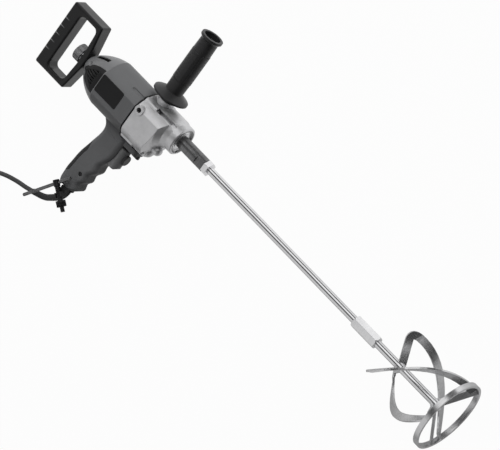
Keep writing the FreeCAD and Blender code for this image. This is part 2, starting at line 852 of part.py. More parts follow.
def rear_cover_shape():
    outer = dome(0)
    hollow = dome(cover_wall)
    keep = [rod_x(cover_back, cover_back + rear_bearing_back + rear_bearing_width, rear_bearing_radius + boss_wall,
                  motor_y)]
    for y, z in post_places():
        keep.append(rod_x(cover_back, barrel_back - post_length, post_radius, y, z))
    shape = outer.cut(hollow.cut(keep))
    rear_x = cover_back + rear_bearing_back
    cuts = [rod_x(rear_x, rear_x + rear_bearing_width + through, rear_bearing_radius, motor_y)]
    cuts.append(rod_x(rear_x - 2 * through, rear_x + through, rear_shaft_radius + through, motor_y))
    cuts.append(rod_x(cover_back - through, cover_back + stud_depth, stud_radius + seat_gap, motor_y))
    for y, z in post_places():
        cuts.append(rod_x(cover_back, barrel_back - cover_screw_seat, cover_screw_head + seat_gap, y, z))
        cuts.append(rod_x(cover_back, barrel_back, cover_screw_radius + seat_gap, y, z))
    for side in (1, -1):
        cuts.append(vent_window(side, 0).cut(keep))
    for angle in (slot_angle, -slot_angle, 180 - slot_angle, 180 + slot_angle):
        slot = block(barrel_back - top_slot_back, barrel_back - top_slot_front, bridge_hole, barrel_radius,
                     -top_slot_width / 2, top_slot_width / 2)
        slot.rotate(Vector(), Vector(1, 0, 0), angle)
        slot.translate(Vector(0, motor_y, 0))
        cuts.append(slot)
    return shape.cut(cuts)


def rear_cover_screws_shape():
    screws = []
    for y, z in post_places():
        seat = barrel_back - cover_screw_seat
        head = rod_x(seat - cover_screw_head, seat, cover_screw_head, y, z)
        shank = rod_x(seat, barrel_back - through, cover_screw_radius - seat_gap, y, z)
        screws.append(head.fuse(shank).removeSplitter())
    return Part.makeCompound(screws)


def vent_grille_shape(side):
    shell = dome(0).cut(dome(cover_wall))
    grille = shell.common(vent_window(side, seat_gap))
    panel = vent_window(side, vent_band)
    cuts = [panel.common(dome(0).cut(dome(vent_recess)))]
    low, high = sorted((0, side * barrel_radius))
    middle = motor_y + (vent_crown + vent_belly) / 2
    for i in range(louvres):
        y = middle + (i - (louvres - 1) / 2) * louvre_pitch
        slot = block(cover_back, barrel_back, y - louvre_width / 2, y + louvre_width / 2, low, high)
        cuts.append(slot.common(vent_window(side, vent_band + vent_recess)))
    for y, z in post_places():
        cuts.append(rod_x(cover_back, barrel_back, post_radius + seat_gap, y, z))
    return grille.cut(cuts)


# Rounded rectangle in a plane of constant Y, for the grip's sections
def grip_section(y, back, front, half):
    corner = grip_corner
    slant = corner * (1 - math.sqrt(0.5))
    points = [(back, half - corner), (back + corner, half), (front - corner, half), (front, half - corner),
              (front, corner - half), (front - corner, -half), (back + corner, -half), (back, corner - half)]
    mids = [(back + slant, half - slant), None, (front - slant, half - slant), None,
            (front - slant, slant - half), None, (back + slant, slant - half), None]
    edges = []
    for i, (x, z) in enumerate(points):
        following = points[(i + 1) % len(points)]
        a = Vector(x, y, z)
        b = Vector(following[0], y, following[1])
        if mids[i] is None:
            edges.append(line(a, b))
        else:
            edges.append(arc(a, Vector(mids[i][0], y, mids[i][1]), b))
    return Part.Wire(edges)


def grip_body():
    wires = [grip_section(tongue_top - drop, back, front, half) for drop, back, front, half in grip_sections]
    return Part.makeLoft(wires, True, False)


def grip_inside():
    hollow = grip_sections[2:-2]
    left = [(back + grip_wall, tongue_top - drop) for drop, back, front, half in hollow]
    right = [(front - 2 * grip_wall, tongue_top - drop) for drop, back, front, half in hollow]
    half = grip_half - grip_wall
    return prism_z(left + right[::-1], -half, half)


def trigger_slot():
    half = trigger_half + moving_gap
    return block(trigger_back - trigger_travel - through, 0, trigger_low - moving_gap, trigger_top + moving_gap,
                 -half, half)


def grip_screw_boss(z0, z1):
    return rod_z(z0, z1, grip_boss_radius, grip_screw_x, grip_screw_y)


# Room that the soft pad takes along the rear edge, beside the left half of the grip
def pad_room(gap):
    beside = [section for section in grip_sections if pad_top < section[0] < pad_low]
    edge = [(back, tongue_top - drop) for drop, back, front, half in beside]
    widths = [pad_end] + [pad_width] * (len(edge) - 2) + [pad_end]
    inner = [(x + width - gap, y) for (x, y), width in zip(edge, widths)]
    outer = [(x - grip_wall, y) for x, y in edge]
    return prism_z(outer + inner[::-1], grip_split + gap, grip_split + barrel_radius)


def grip_pad_shape():
    return grip_body().common(pad_room(seat_gap)).cut(grip_inside())


def boot_hole():
    return rod_y(exit_y - through, exit_y + boot_inside, boot_start_radius + seat_gap, exit_x)


def boot_pocket():
    y1 = exit_y + boot_inside
    return rod_y(y1 - boot_collar - seat_gap, y1 + seat_gap, boot_collar_radius + seat_gap, exit_x)


def lever_hole():
    low = tongue_top - tongue_depth - through
    return rod_y(low, tongue_top - 2 * through, lever_pin_radius + running_gap, lever_x)


def lock_hole():
    depth = grip_half + lock_height
    return rod_z(-depth, 0, lock_radius + moving_gap, lock_x, lock_y)


# Round-ended grooves in the barrel, beside the upper screw columns
def barrel_slots():
    slots = []
    back = barrel_front - barrel_slot_length + barrel_slot_radius
    reach = barrel_radius + barrel_slot_radius - barrel_slot_sink
    for side in (1, -1):
        angle = math.radians(side * barrel_slot_angle)
        y = motor_y + reach * math.cos(angle)
        z = reach * math.sin(angle)
        slots.append(rod_x(back, barrel_front + through, barrel_slot_radius, y, z))
        slots.append(Part.makeSphere(barrel_slot_radius, Vector(back, y, z)))
    return slots


def motor_housing_shape():
    barrel = flat_sided(barrel_back, barrel_front, barrel_radius, barrel_flat)
    hollow = flat_sided(barrel_back - through, barrel_front + through, barrel_radius - barrel_wall,
                        barrel_flat - barrel_wall)
    ribs_back = barrel_front - stack_front - stack_length
    ribs = columns(ribs_back, barrel_front, column_radius - through)
    hollow = hollow.cut([rib.cut(rod_x(ribs_back, barrel_front, stator_radius, motor_y)) for rib in ribs])
    tongue = block(barrel_front, tongue_front, tongue_top - tongue_depth, tongue_top,
                   -tongue_half, tongue_half)
    nose_edges = [e for e in tongue.Edges if abs(e.CenterOfMass.x - tongue_front) < seat_gap
                  and abs(e.CenterOfMass.z) > tongue_half / 2]
    tongue = tongue.makeFillet(tongue_half / 2, nose_edges)
    left = grip_body().cut(block(-1000, 1000, -1000, cover_top, grip_split, 1000))
    above = block(barrel_front, 1000, tongue_top, 0, -1000, 1000)
    left = left.cut(above)
    shape = fused([barrel, left, tongue]).cut(hollow)
    inside = grip_inside()
    shape = shape.cut(inside)
    boss = grip_screw_boss(-grip_half + grip_wall / 2, grip_split)
    shape = shape.fuse(boss)
    cuts = [trigger_slot(), boot_hole(), boot_pocket(), lever_hole(), lock_hole()]
    cuts.append(rod_z(-grip_half + grip_wall, grip_split + through, grip_screw_radius, grip_screw_x,
                      grip_screw_y))
    cuts += columns(barrel_front - screw_reach - through, barrel_front + through, screw_radius)
    cuts += barrel_slots()
    return shape.cut(cuts).removeSplitter()


def grip_cover_shape():
    keep = block(-1000, 1000, -1000, cover_top, grip_split, 1000)
    shape = grip_body().common(keep).cut(grip_inside())
    half = grip_half
    shape = shape.fuse(grip_screw_boss(grip_split, half - grip_wall / 2))
    cuts = [trigger_slot(), boot_hole(), boot_pocket(), pad_room(0)]
    for low, high, radius in ((grip_split - through, half + through, grip_screw_radius),
                              (half - grip_wall, half + grip_wall, grip_screw_head)):
        cuts.append(rod_z(low, high, radius + seat_gap, grip_screw_x, grip_screw_y))
    return shape.cut(cuts).removeSplitter()


def grip_screw_shape():
    half = grip_half
    head = rod_z(half - grip_wall, half - grip_wall / 3, grip_screw_head, grip_screw_x, grip_screw_y)
    shank = rod_z(-half + grip_wall + through, half - grip_wall, grip_screw_radius - seat_gap, grip_screw_x,
                  grip_screw_y)
    return head.fuse(shank).removeSplitter()


def switch_body_shape():
    front = trigger_back - trigger_travel - moving_gap
    seat = grip_half - grip_wall - seat_gap
    return block(switch_back, front, trigger_low, trigger_top, -switch_half, seat)


def trigger_shape():
    back = trigger_back
    face = trigger_face
    low = trigger_low
    top = trigger_top
    nose = 4.0
    front = face - nose
    bulge = face - nose / 4
    edges = [line(Vector(back, low, 0), Vector(back, top, 0)),
             line(Vector(back, top, 0), Vector(front, top, 0)),
             arc(Vector(front, top, 0), Vector(bulge, top - nose / 4, 0), Vector(face, top - nose, 0)),
             line(Vector(face, top - nose, 0), Vector(face, low + 3 * nose, 0)),
             arc(Vector(face, low + 3 * nose, 0), Vector(bulge, low + nose, 0), Vector(front, low, 0)),
             line(Vector(front, low, 0), Vector(back, low, 0))]
    solid = Part.Face(Part.Wire(edges)).extrude(Vector(0, 0, 2 * trigger_half))
    solid.translate(Vector(0, 0, -trigger_half))
    half = trigger_half
    plan = [line(Vector(back, low, half), Vector(back, low, -half)),
            line(Vector(back, low, -half), Vector(front - nose, low, -half)),
            arc(Vector(front - nose, low, -half), Vector(face, low, 0), Vector(front - nose, low, half)),
            line(Vector(front - nose, low, half), Vector(back, low, half))]
    solid = solid.common(Part.Face(Part.Wire(plan)).extrude(Vector(0, top - low, 0)))
    stem_hole = rod_x(face - dial_stem - moving_gap, face + through, dial_stem_radius + running_gap, dial_y)
    return solid.cut(stem_hole)


def speed_dial_shape():
    x0 = trigger_face + moving_gap
    cap = rod_x(x0, x0 + dial_height, dial_radius, dial_y)
    rim = [e for e in cap.Edges if abs(e.CenterOfMass.x - x0 - dial_height) < seat_gap]
    cap = cap.makeChamfer(dial_height / 4, rim)
    stem = rod_x(trigger_face - dial_stem, x0, dial_stem_radius, dial_y)
    cuts = []
    for i in range(dial_teeth):
        angle = 2 * math.pi * i / dial_teeth
        cuts.append(rod_x(x0 - through, x0 + dial_height + through, dial_radius / 12,
                          dial_y + dial_radius * math.cos(angle), dial_radius * math.sin(angle)))
    return cap.cut(cuts).fuse(stem).removeSplitter()


def reverse_lever_shape():
    low = tongue_top - tongue_depth - moving_gap
    pin = rod_y(low, tongue_top - 2 * through - moving_gap, lever_pin_radius, lever_x)
    plate = block(lever_x, lever_front, low - lever_depth, low, -lever_half, lever_half)
    tip_edges = [e for e in plate.Edges if abs(e.CenterOfMass.x - lever_front) < seat_gap
                 and abs(e.CenterOfMass.z) > lever_half / 2]
    plate = plate.makeFillet(lever_half * 0.8, tip_edges)
    hub = rod_y(low - lever_depth, low, lever_half, lever_x)
    return fused([pin, plate, hub])


def lock_button_shape():
    half = grip_half
    cap = rod_z(-half - lock_height, -half + grip_wall + moving_gap, lock_radius, lock_x, lock_y)
    rim = [e for e in cap.Edges if abs(e.CenterOfMass.z + half + lock_height) < seat_gap]
    cap = cap.makeFillet(lock_height / 3, rim)
    inside = -half + grip_wall + moving_gap
    flange = rod_z(inside, inside + lock_flange, lock_flange_radius, lock_x, lock_y)
    return cap.fuse(flange).removeSplitter()


def cord_clamp_shape():
    y1 = exit_y + boot_inside + moving_gap
    half = boot_collar_radius
    bar = block(exit_x - half, exit_x + half, y1, y1 + clamp_thickness, -half, half)
    return bar.cut(rod_y(y1 - through, y1 + clamp_thickness + through, cord_radius, exit_x))


# Straight runs joined by the largest tangent arcs that the shorter run allows
def route(points):
    spans = []
    radii = []
    place = points[0]
    for i in range(1, len(points) - 1):
        before = points[i].sub(points[i - 1])
        after = points[i + 1].sub(points[i])
        turn = before.getAngle(after)
        cut = 0.45 * min(before.Length, after.Length)
        radii.append(cut / math.tan(turn / 2))
        start = points[i].sub(Vector(before).normalize().multiply(cut))
        end = points[i].add(Vector(after).normalize().multiply(cut))
        chord = start.add(end).multiply(0.5)
        inward = chord.sub(points[i]).normalize()
        apex = radii[-1] / math.cos(turn / 2) - radii[-1]
        spans.append(line(place, start))
        spans.append(arc(start, points[i].add(inward.multiply(apex)), end))
        place = end
    spans.append(line(place, points[-1]))
    return Part.Wire(spans), radii


def circle_across(point, along, radius):
    return Part.Wire(Part.makeCircle(radius, point, along))


def tube_along(wire, start, along, radius, end=None, end_along=None, end_radius=None):
    shell = Part.BRepOffsetAPI.MakePipeShell(wire)
    shell.add(circle_across(start, along, radius))
    if end is not None:
        shell.add(circle_across(end, end_along, end_radius))
    shell.build()
    shell.makeSolid()
    return shell.shape()


# The floor under the tool touches the ring and the back end of the left flat, on the domed cover
def flat_end():
    bow = dome_arc(0).toShape().Curve
    return bow.Center.x - math.sqrt(bow.Radius**2 - (barrel_flat - bow.Center.y)**2)


floor_rear = flat_end()
floor_slope = (ring_radius - barrel_flat) / (ring_front - ring_height - floor_rear)
floor_tilt = math.degrees(math.atan(floor_slope))
upright = Rotation(Vector(0, 1, 0), -floor_tilt)


def over_floor(x, y, height):
    floor_z = -barrel_flat - floor_slope * (x - floor_rear)
    return Vector(x, y, floor_z).add(upright.inverted().multVec(Vector(0, 0, height)))


def boot_route():
    start = Vector(exit_x, exit_y + boot_inside, 0)
    return [start] + [Vector(*p) for p in boot_points]


def cord_boot_shape():
    points = boot_route()
    wire, radii = route(points)
    end_along = points[-1].sub(points[-2]).normalize()
    body = tube_along(wire, points[0], Vector(0, -1, 0), boot_start_radius,
                      points[-1], end_along, boot_end_radius)
    y1 = exit_y + boot_inside
    collar = rod_y(y1 - boot_collar, y1, boot_collar_radius, exit_x)
    root = rod_y(exit_y - boot_straight, y1, boot_start_radius, exit_x)
    print("boot bends", [round(r) for r in radii], "length", round(wire.Length))
    return fused([root, collar, body])


coil_low = tie_thickness + moving_gap + cord_radius


def coil_entry():
    return over_floor(coil_x + 2 * cord_radius, coil_y - coil_outer, coil_low)


def cord_route():
    start = Vector(*boot_points[-1])
    along = start.sub(Vector(*boot_points[-2])).normalize()
    lead = 4 * cord_radius
    first = start.add(along.multiply(lead))
    last = over_floor(coil_x + 2 * cord_radius + lead, coil_y - coil_outer, coil_low)
    return [start, first] + [over_floor(*p) for p in cord_points] + [last, coil_entry()]


def cord_shape():
    points = cord_route()
    wire, radii = route(points)
    along = points[1].sub(points[0]).normalize()
    tube = tube_along(wire, points[0], along, cord_radius)
    area = math.pi * cord_radius**2
    print("cord bends", [round(r) for r in radii], "length", round(wire.Length), "volume over area times length",
          round(tube.Volume / (area * wire.Length), 4))
    return tube


# The put-away coil spirals in on the floor, climbs where it turns back, and spirals out on top
def coil_point(turn):
    climb = 0.5
    middle = coil_turns_in + climb / 2
    radius = coil_outer - coil_pitch * (middle - abs(turn - middle))
    share = min(1.0, max(0.0, (turn - coil_turns_in) / climb))
    height = coil_low + coil_pitch * (share - math.sin(2 * math.pi * share) / (2 * math.pi))
    angle = -math.pi / 2 - 2 * math.pi * turn
    return Vector(radius * math.cos(angle), radius * math.sin(angle), height)


def coil_heading(turn):
    step = 0.001
    return coil_point(turn + step).sub(coil_point(turn - step)).normalize()


def biarc(p0, t0, p1, t1):
    span = p1.sub(p0)
    tangents = t0.add(t1)
    a = 2 * (t0.dot(t1) - 1)
    b = -2 * span.dot(tangents)
    c = span.dot(span)
    reach = (-b - math.sqrt(b * b - 4 * a * c)) / (2 * a)
    joint = p0.add(p1).add(t0.sub(t1).multiply(reach)).multiply(0.5)
    edges = []
    for near, tangent, far in ((p0, t0, joint), (p1, t1, joint)):
        chord = far.sub(near)
        sine = tangent.cross(chord).Length / chord.Length
        side = chord.sub(Vector(tangent).multiply(tangent.dot(chord)))
        radius = chord.Length / (2 * sine)
        centre = near.add(side.normalize().multiply(radius))
        apex = centre.add(near.add(far).multiply(0.5).sub(centre).normalize().multiply(radius))
        edges.append((near, apex, far))
    first, second = edges
    return [arc(*first), arc(second[2], second[1], second[0])]


def coil_turns():
    return coil_turns_in + 0.5 + coil_turns_out


def coil_placement():
    return Placement(over_floor(coil_x, coil_y, 0), upright.inverted())


def tail_end():
    heading = coil_heading(coil_turns())
    return coil_point(coil_turns()).add(Vector(heading.x, heading.y, 0).normalize().multiply(tail_length))


def cord_coil_shape():
    quarter = 0.25
    count = round(coil_turns() / quarter)
    start = coil_point(0)
    lead = start.add(Vector(2 * cord_radius, 0, 0))
    edges = [line(lead, start)]
    headings = [coil_heading(i * quarter) for i in range(count + 1)]
    headings[0] = Vector(-1, 0, 0)
    last = headings[-1]
    headings[-1] = Vector(last.x, last.y, 0).normalize()
    for i in range(count):
        edges += biarc(coil_point(i * quarter), headings[i], coil_point((i + 1) * quarter), headings[i + 1])
    edges.append(line(coil_point(coil_turns()), tail_end()))
    wire = Part.Wire(edges)
    tube = tube_along(wire, lead, Vector(-1, 0, 0), cord_radius)
    points = wire.discretize(Distance=cord_radius / 2)
    apart = int(4 * math.pi)
    gap = min(a.sub(b).Length for i, a in enumerate(points) for b in points[i + apart:]) - 2 * cord_radius
    area = math.pi * cord_radius**2
    print("coil length", round(wire.Length), "least gap", round(gap, 2), "volume over area times length",
          round(tube.Volume / (area * wire.Length), 4))
    tube.Placement = coil_placement()
    return tube


def cord_tie_shape():
    inner = coil_outer - coil_pitch * (coil_turns_in + 0.25) - cord_radius - moving_gap
    outer = coil_outer + cord_radius + moving_gap
    top = coil_low + coil_pitch + cord_radius + moving_gap
    edge = tie_thickness
    half = tie_width / 2
    band = block(inner - edge, outer + edge, -half, half, seat_gap, top + edge)
    band = band.cut(block(inner, outer, -tie_width, tie_width, edge, top))
    band.rotate(Vector(), Vector(0, 0, 1), tie_angle)
    band.Placement = coil_placement().multiply(band.Placement)
    return band


def plug_placement():
    heading = coil_heading(coil_turns())
    angle = math.degrees(math.atan2(heading.y, heading.x))
    local = Placement(tail_end(), Rotation(Vector(0, 0, 1), angle))
    return coil_placement().multiply(local)


# Plug along its own X from the cord, lying flat
def plug_shape():
    centre = plug_half_height + seat_gap - coil_low - coil_pitch
    sections = []
    stations = [(0, cord_radius + 1, cord_radius + 1), (plug_relief, 6.0, 6.0),
                (plug_relief + plug_length * 0.35, plug_half_width * 0.8, plug_half_height * 0.85),
                (plug_relief + plug_length * 0.8, plug_half_width, plug_half_height),
                (plug_relief + plug_length, plug_half_width, plug_half_height)]
    for x, wide, high in stations:
        rise = centre * x / (plug_relief + plug_length)
        if wide > high:
            side = Vector(x, wide, rise)
            crown = Vector(x, 0, rise + high)
            outline = Part.Ellipse(side, crown, Vector(x, 0, rise)).toShape()
        else:
            outline = Part.makeCircle(wide, Vector(x, 0, rise), Vector(1, 0, 0))
        sections.append(Part.Wire(outline))
    body = Part.makeLoft(sections, True, False)
    body.Placement = plug_placement()
    return body


def plug_pins_shape():
    centre = plug_half_height + seat_gap - coil_low - coil_pitch
    front = plug_relief + plug_length
    pins = [rod_x(front, front + pin_length, pin_radius, side * pin_spacing / 2, centre) for side in (1, -1)]
    shape = Part.makeCompound(pins)
    shape.Placement = plug_placement()
    return shape


def key_placement():
    return Placement(Vector(key_top[0], key_top[1], key_z), Rotation(Vector(0, 0, 1), key_angle))


# Chuck key along its own X from the T-bar
def chuck_key_shape():
    head = rod_x(-head_radius, head_radius, head_radius)
    stem = rod_x(0, stem_length, stem_radius)
    crown = rod_x(stem_length, stem_length + key_pinion_length, key_pinion_radius)
    cuts = []
    for i in range(key_teeth):
        angle = 2 * math.pi * (i + 0.5) / key_teeth
        cuts.append(rod_x(stem_length + key_pinion_length / 3, stem_length + key_pinion_length + through,
                          key_pinion_radius / 5, key_pinion_radius * math.cos(angle),
                          key_pinion_radius * math.sin(angle)))
    pilot = rod_x(stem_length, stem_length + key_pinion_length + pilot_length, pilot_radius)
    key = fused([head, stem, crown.cut(cuts), pilot])
    along = Rotation(Vector(0, 0, 1), bar_angle - key_angle).multVec(Vector(1, 0, 0))
    start = Vector(along).multiply(-2 * head_radius)
    hole = Part.makeCylinder(bar_radius + seat_gap, 4 * head_radius, start, along)
    key = key.cut(hole)
    key.Placement = key_placement()
    return key


def chuck_key_bar_shape():
    bar = rod_x(-bar_before, bar_after, bar_radius)
    ends = [e for e in bar.Edges if e.Closed]
    bar = bar.makeFillet(bar_radius / 2, ends)
    bar.Placement = Placement(Vector(key_top[0], key_top[1], key_z), Rotation(Vector(0, 0, 1), bar_angle))
    return bar


def key_holder_shape():
    wall = stem_radius + clip_wall
    clip = block(holder_clip - clip_half, holder_clip + clip_half, -wall, wall, -wall, stem_radius)
    clip = clip.cut(rod_x(0, stem_length, stem_radius + running_gap))
    clip = clip.cut(block(0, stem_length, -stem_radius - running_gap, stem_radius + running_gap, 0, 2 * wall))
    clip.Placement = key_placement()
    clip_place = key_placement().multVec(Vector(holder_clip, 0, 0))
    band_y = exit_y - boot_straight / 2 - seat_gap
    outer = boot_start_radius + holder_wall_thickness
    band = rod_y(band_y - holder_band / 2, band_y + holder_band / 2, outer, exit_x)
    low = boot_start_radius + holder_wall_thickness / 2
    web = block(min(exit_x, clip_place.x) - clip_half, max(exit_x, clip_place.x) + clip_half / 2,
                clip_place.y - clip_half, band_y + holder_band / 2, low, key_z - wall + clip_wall / 2)
    hole = rod_y(band_y - holder_band, band_y + holder_band, boot_start_radius + seat_gap, exit_x)
    return fused([band, web, clip]).cut(hole)


def rear_handle_shape():
    front = cover_back - moving_gap
    corner = front - loop_slope
    back = front - loop_depth
    high = loop_half_height
    outer = [(front, loop_apex_half), (corner, high), (back, high), (back, -high), (corner, -high),
             (front, -loop_apex_half)]
    body = prism_z([(x, motor_y + y) for x, y in outer], -loop_half_width, loop_half_width)
    body = body.makeFillet(loop_round, body.Edges)
    inner_front = loop_inner_face()
    inner_corner = corner - loop_corner_band
    inner_back = back + loop_bar
    inner_high = high - loop_band + through
    corners = [(inner_back, inner_high), (inner_corner, inner_high), (inner_front, loop_apex_half),
               (inner_front, -loop_apex_half), (inner_corner, -inner_high), (inner_back, -inner_high)]
    reach = loop_half_width + through
    window = prism_z([(x, motor_y + y) for x, y in corners], -reach, reach)
    upright_edges = [e for e in window.Edges if abs(e.CenterOfMass.z) < seat_gap
                     and abs(e.CenterOfMass.y - motor_y) > loop_apex_half + through]
    window = window.makeFillet(window_corner, upright_edges)
    shape = body.cut(window)
    rims = [e for e in shape.Edges if abs(abs(e.CenterOfMass.z) - loop_half_width) < seat_gap
            and inner_back - through < e.CenterOfMass.x < inner_front + through
            and abs(e.CenterOfMass.y - motor_y) < inner_high + through]
    shape = shape.makeFillet(window_round, rims)
    cuts = [rod_x(inner_front - through, front + through, stud_radius + running_gap, motor_y)]
    for i in range(grip_grooves):
        y = motor_y + (i - (grip_grooves - 1) / 2) * groove_pitch
        notch = block(back - through, back + groove_depth, y - groove_width / 2, y + groove_width / 2,
                      -loop_half_width - through, loop_half_width + through)
        cuts.append(notch)
    return shape.cut(cuts)


def loop_inner_face():
    return cover_back - moving_gap - loop_band - through


def rear_handle_stud_shape():
    end = loop_inner_face() - moving_gap - washer_thickness - knob_length * 0.7
    return rod_x(end, cover_back + stud_depth, stud_radius, motor_y)


def knob_washer_shape():
    x1 = loop_inner_face() - moving_gap
    return tube_x(x1 - washer_thickness, x1, washer_radius, stud_radius + running_gap, motor_y)


def rear_handle_knob_shape():
    x1 = loop_inner_face() - moving_gap - washer_thickness
    x0 = x1 - knob_length
    knob = rod_x(x0, x1, knob_radius, motor_y)
    knob = knob.makeFillet(knob_dome, [e for e in knob.Edges if abs(e.CenterOfMass.x - x0) < seat_gap])
    cuts = [rod_x(x0 + knob_length * 0.25, x1 + through, stud_radius + running_gap, motor_y)]
    reach = knob_radius + scallop_radius * 0.55
    for i in range(knob_scallops):
        angle = 2 * math.pi * (i + 0.5) / knob_scallops
        cuts.append(rod_x(x0 - through, x1 + through, scallop_radius, motor_y + reach * math.cos(angle),
                          reach * math.sin(angle)))
    return knob.cut(cuts)


# Side handle turned about its own Y axis
def side_handle_shape():
    y0 = side_seat_y + moving_gap
    flange = y0 + side_neck
    end = y0 + side_length
    points = [(side_stud_radius + seat_gap, y0), (side_neck_radius, y0), (side_neck_radius, flange),
              (side_flange_radius, flange), (side_flange_radius, flange + side_flange),
              (side_grip_radius, flange + side_flange + side_cone)]
    swell = (side_grip_radius + 0.7, (flange + side_cone + end) / 2)
    neck = (side_grip_radius, end - 2 * side_end)
    rest = [(side_end_radius, end - side_end), (side_end_radius, end), (side_recess_radius, end),
            (side_recess_radius, end - side_recess), (0, end - side_recess), (0, flange + 3 * side_cone),
            (side_stud_radius + seat_gap, flange + 3 * side_cone)]

    def at(pair):
        return Vector(side_x + pair[0], pair[1], 0)

    edges = [line(at(points[i]), at(points[i + 1])) for i in range(len(points) - 1)]
    edges.append(arc(at(points[-1]), at(swell), at(neck)))
    chain = [neck] + rest + points[:1]
    edges += [line(at(chain[i]), at(chain[i + 1])) for i in range(len(chain) - 1)]
    face = Part.Face(Part.Wire(edges))
    return face.revolve(Vector(side_x, 0, 0), Vector(0, 1, 0), 360)


def side_handle_stud_shape():
    top = side_seat_y + moving_gap + side_neck + 3 * side_cone
    return rod_y(side_seat_y - side_stud_depth, top, side_stud_radius, side_x)


def mixing_rod_shape():
    x0 = spindle_reach + running_gap
    stub = rod_x(spindle_reach - thread_depth + through, x0, thread_radius)
    collar = hexagon_x(x0, x0 + collar_length, collar_across)
    rod = rod_x(x0, coupling_start + coupling_length / 2 - running_gap, rod_radius)
    return fused([stub, collar, rod])


def rod_coupling_shape():
    hexagon = hexagon_x(coupling_start, coupling_start + coupling_length, coupling_across)
    corner = coupling_across / math.sqrt(3)
    chamfer = 2.0
    edges = []
    points = [Vector(coupling_start, 0, 0), Vector(coupling_start, corner - chamfer / 2, 0),
              Vector(coupling_start + chamfer, corner, 0),
              Vector(coupling_start + coupling_length - chamfer, corner, 0),
              Vector(coupling_start + coupling_length, corner - chamfer / 2, 0),
              Vector(coupling_start + coupling_length, 0, 0)]
    for i in range(len(points)):
        edges.append(line(points[i], points[(i + 1) % len(points)]))
    turned = turned_x(edges)
    bore = rod_x(coupling_start - through, coupling_start + coupling_length + through, rod_radius + seat_gap)
    return hexagon.common(turned).cut(bore)


def paddle_shaft_shape():
    start = coupling_start + coupling_length / 2 + running_gap
    shaft = rod_x(start, low_hub_x + low_hub_length / 2, rod_radius)
    hub = rod_x(hub_x - hub_length / 2, hub_x + hub_length / 2, hub_radius)
    low_hub = rod_x(low_hub_x - low_hub_length / 2, low_hub_x + low_hub_length / 2, hub_radius)
    return fused([shaft, hub, low_hub])


def polar(x, radius, angle):
    turn = math.radians(angle)
    return Vector(x, radius * math.cos(turn), radius * math.sin(turn))


def across(wish, along):
    return wish.sub(Vector(along).multiply(wish.dot(along))).normalize()


def strip_section(centre, along, wide):
    width = across(wide, along).multiply(blade_width / 2)
    thick = along.cross(width).normalize().multiply(blade_thickness / 2)
    corners = [centre.add(width).add(thick), centre.sub(width).add(thick), centre.sub(width).sub(thick),
               centre.add(width).sub(thick)]
    return Part.makePolygon(corners + corners[:1])


# One blade: a flat strip out from the upper hub, bent on edge into a helix that reaches into the ring.
# It stands on edge like a screw's flight at the bend and leans over a little on its way down.
def blade_shape(index):
    top = blade_turn + 360.0 * index / blade_count
    end_lie = math.radians(blade_lie)
    end_reach = (blade_width * math.cos(end_lie) + blade_thickness * math.sin(end_lie)) / 2
    end_radius = ring_radius - ring_wall - end_reach - moving_gap
    end_x = ring_front - ring_height / 2

    def helix(share):
        radius = blade_corner_radius + (end_radius - blade_corner_radius) * share
        return polar(blade_corner_x + (end_x - blade_corner_x) * share, radius, top - blade_wrap * share)

    def helix_along(share):
        step = 0.01
        return helix(share + step).sub(helix(share - step)).normalize()

    root = polar(hub_x, hub_radius - blade_thickness, top)
    corner = helix(0)
    spoke = corner.sub(root)
    spoke_along = Vector(spoke).normalize()
    bend_start = root.add(Vector(spoke).multiply(1 - blade_width / spoke.Length))
    bend_end = helix(blade_bend)
    facing = helix_along(0).cross(spoke_along).normalize()
    sections = [strip_section(root, spoke_along, facing.cross(spoke_along))]
    bends = 7
    for i in range(bends):
        t = i / bends
        first = corner.sub(bend_start).multiply(1 - t)
        second = bend_end.sub(corner).multiply(t)
        along = first.add(second).normalize()
        out = corner.sub(bend_start).multiply(2 * t - t * t)
        down = bend_end.sub(corner).multiply(t * t)
        sections.append(strip_section(bend_start.add(out).add(down), along, facing.cross(along)))
    stations = 16
    for i in range(stations + 1):
        share = blade_bend + (1 - blade_bend) * i / stations
        along = helix_along(share)
        centre = helix(share)
        outward = across(Vector(0, centre.y, centre.z), along)
        lie = end_lie * (share - blade_bend) / (1 - blade_bend)
        wide = Vector(outward).multiply(math.cos(lie)).add(along.cross(outward).multiply(math.sin(lie)))
        sections.append(strip_section(centre, along, wide))
    return Part.makeLoft(sections, True, True).cut(paddle_hub(hub_x, hub_length))


def paddle_ring_shape():
    return tube_x(ring_front - ring_height, ring_front, ring_radius, ring_radius - ring_wall)


def paddle_hub(x, length):
    return rod_x(x - length, x + length, hub_radius + seat_gap)


# Spokes from the lower hub out to the ring, one beside the end of each blade
def ring_spokes_shape():
    spokes = []
    inside = rod_x(low_hub_x - ring_radius, ring_front, ring_radius - ring_wall - seat_gap)
    for i in range(blade_count):
        angle = blade_turn + 360.0 * i / blade_count - blade_wrap - spoke_lag
        root = polar(low_hub_x, hub_radius - blade_thickness, angle)
        tip = polar(ring_front - ring_height / 2, ring_radius, angle)
        along = tip.sub(root).normalize()
        tangent = polar(0, 1, angle - 90)
        pitch = math.radians(spoke_pitch)
        wide = Vector(math.cos(pitch), 0, 0).add(tangent.multiply(math.sin(pitch)))
        spoke = Part.makeLoft([strip_section(root, along, wide), strip_section(tip, along, wide)], True, True)
        spokes.append(spoke.common(inside).cut(paddle_hub(low_hub_x, low_hub_length)))
    return Part.makeCompound(spokes)


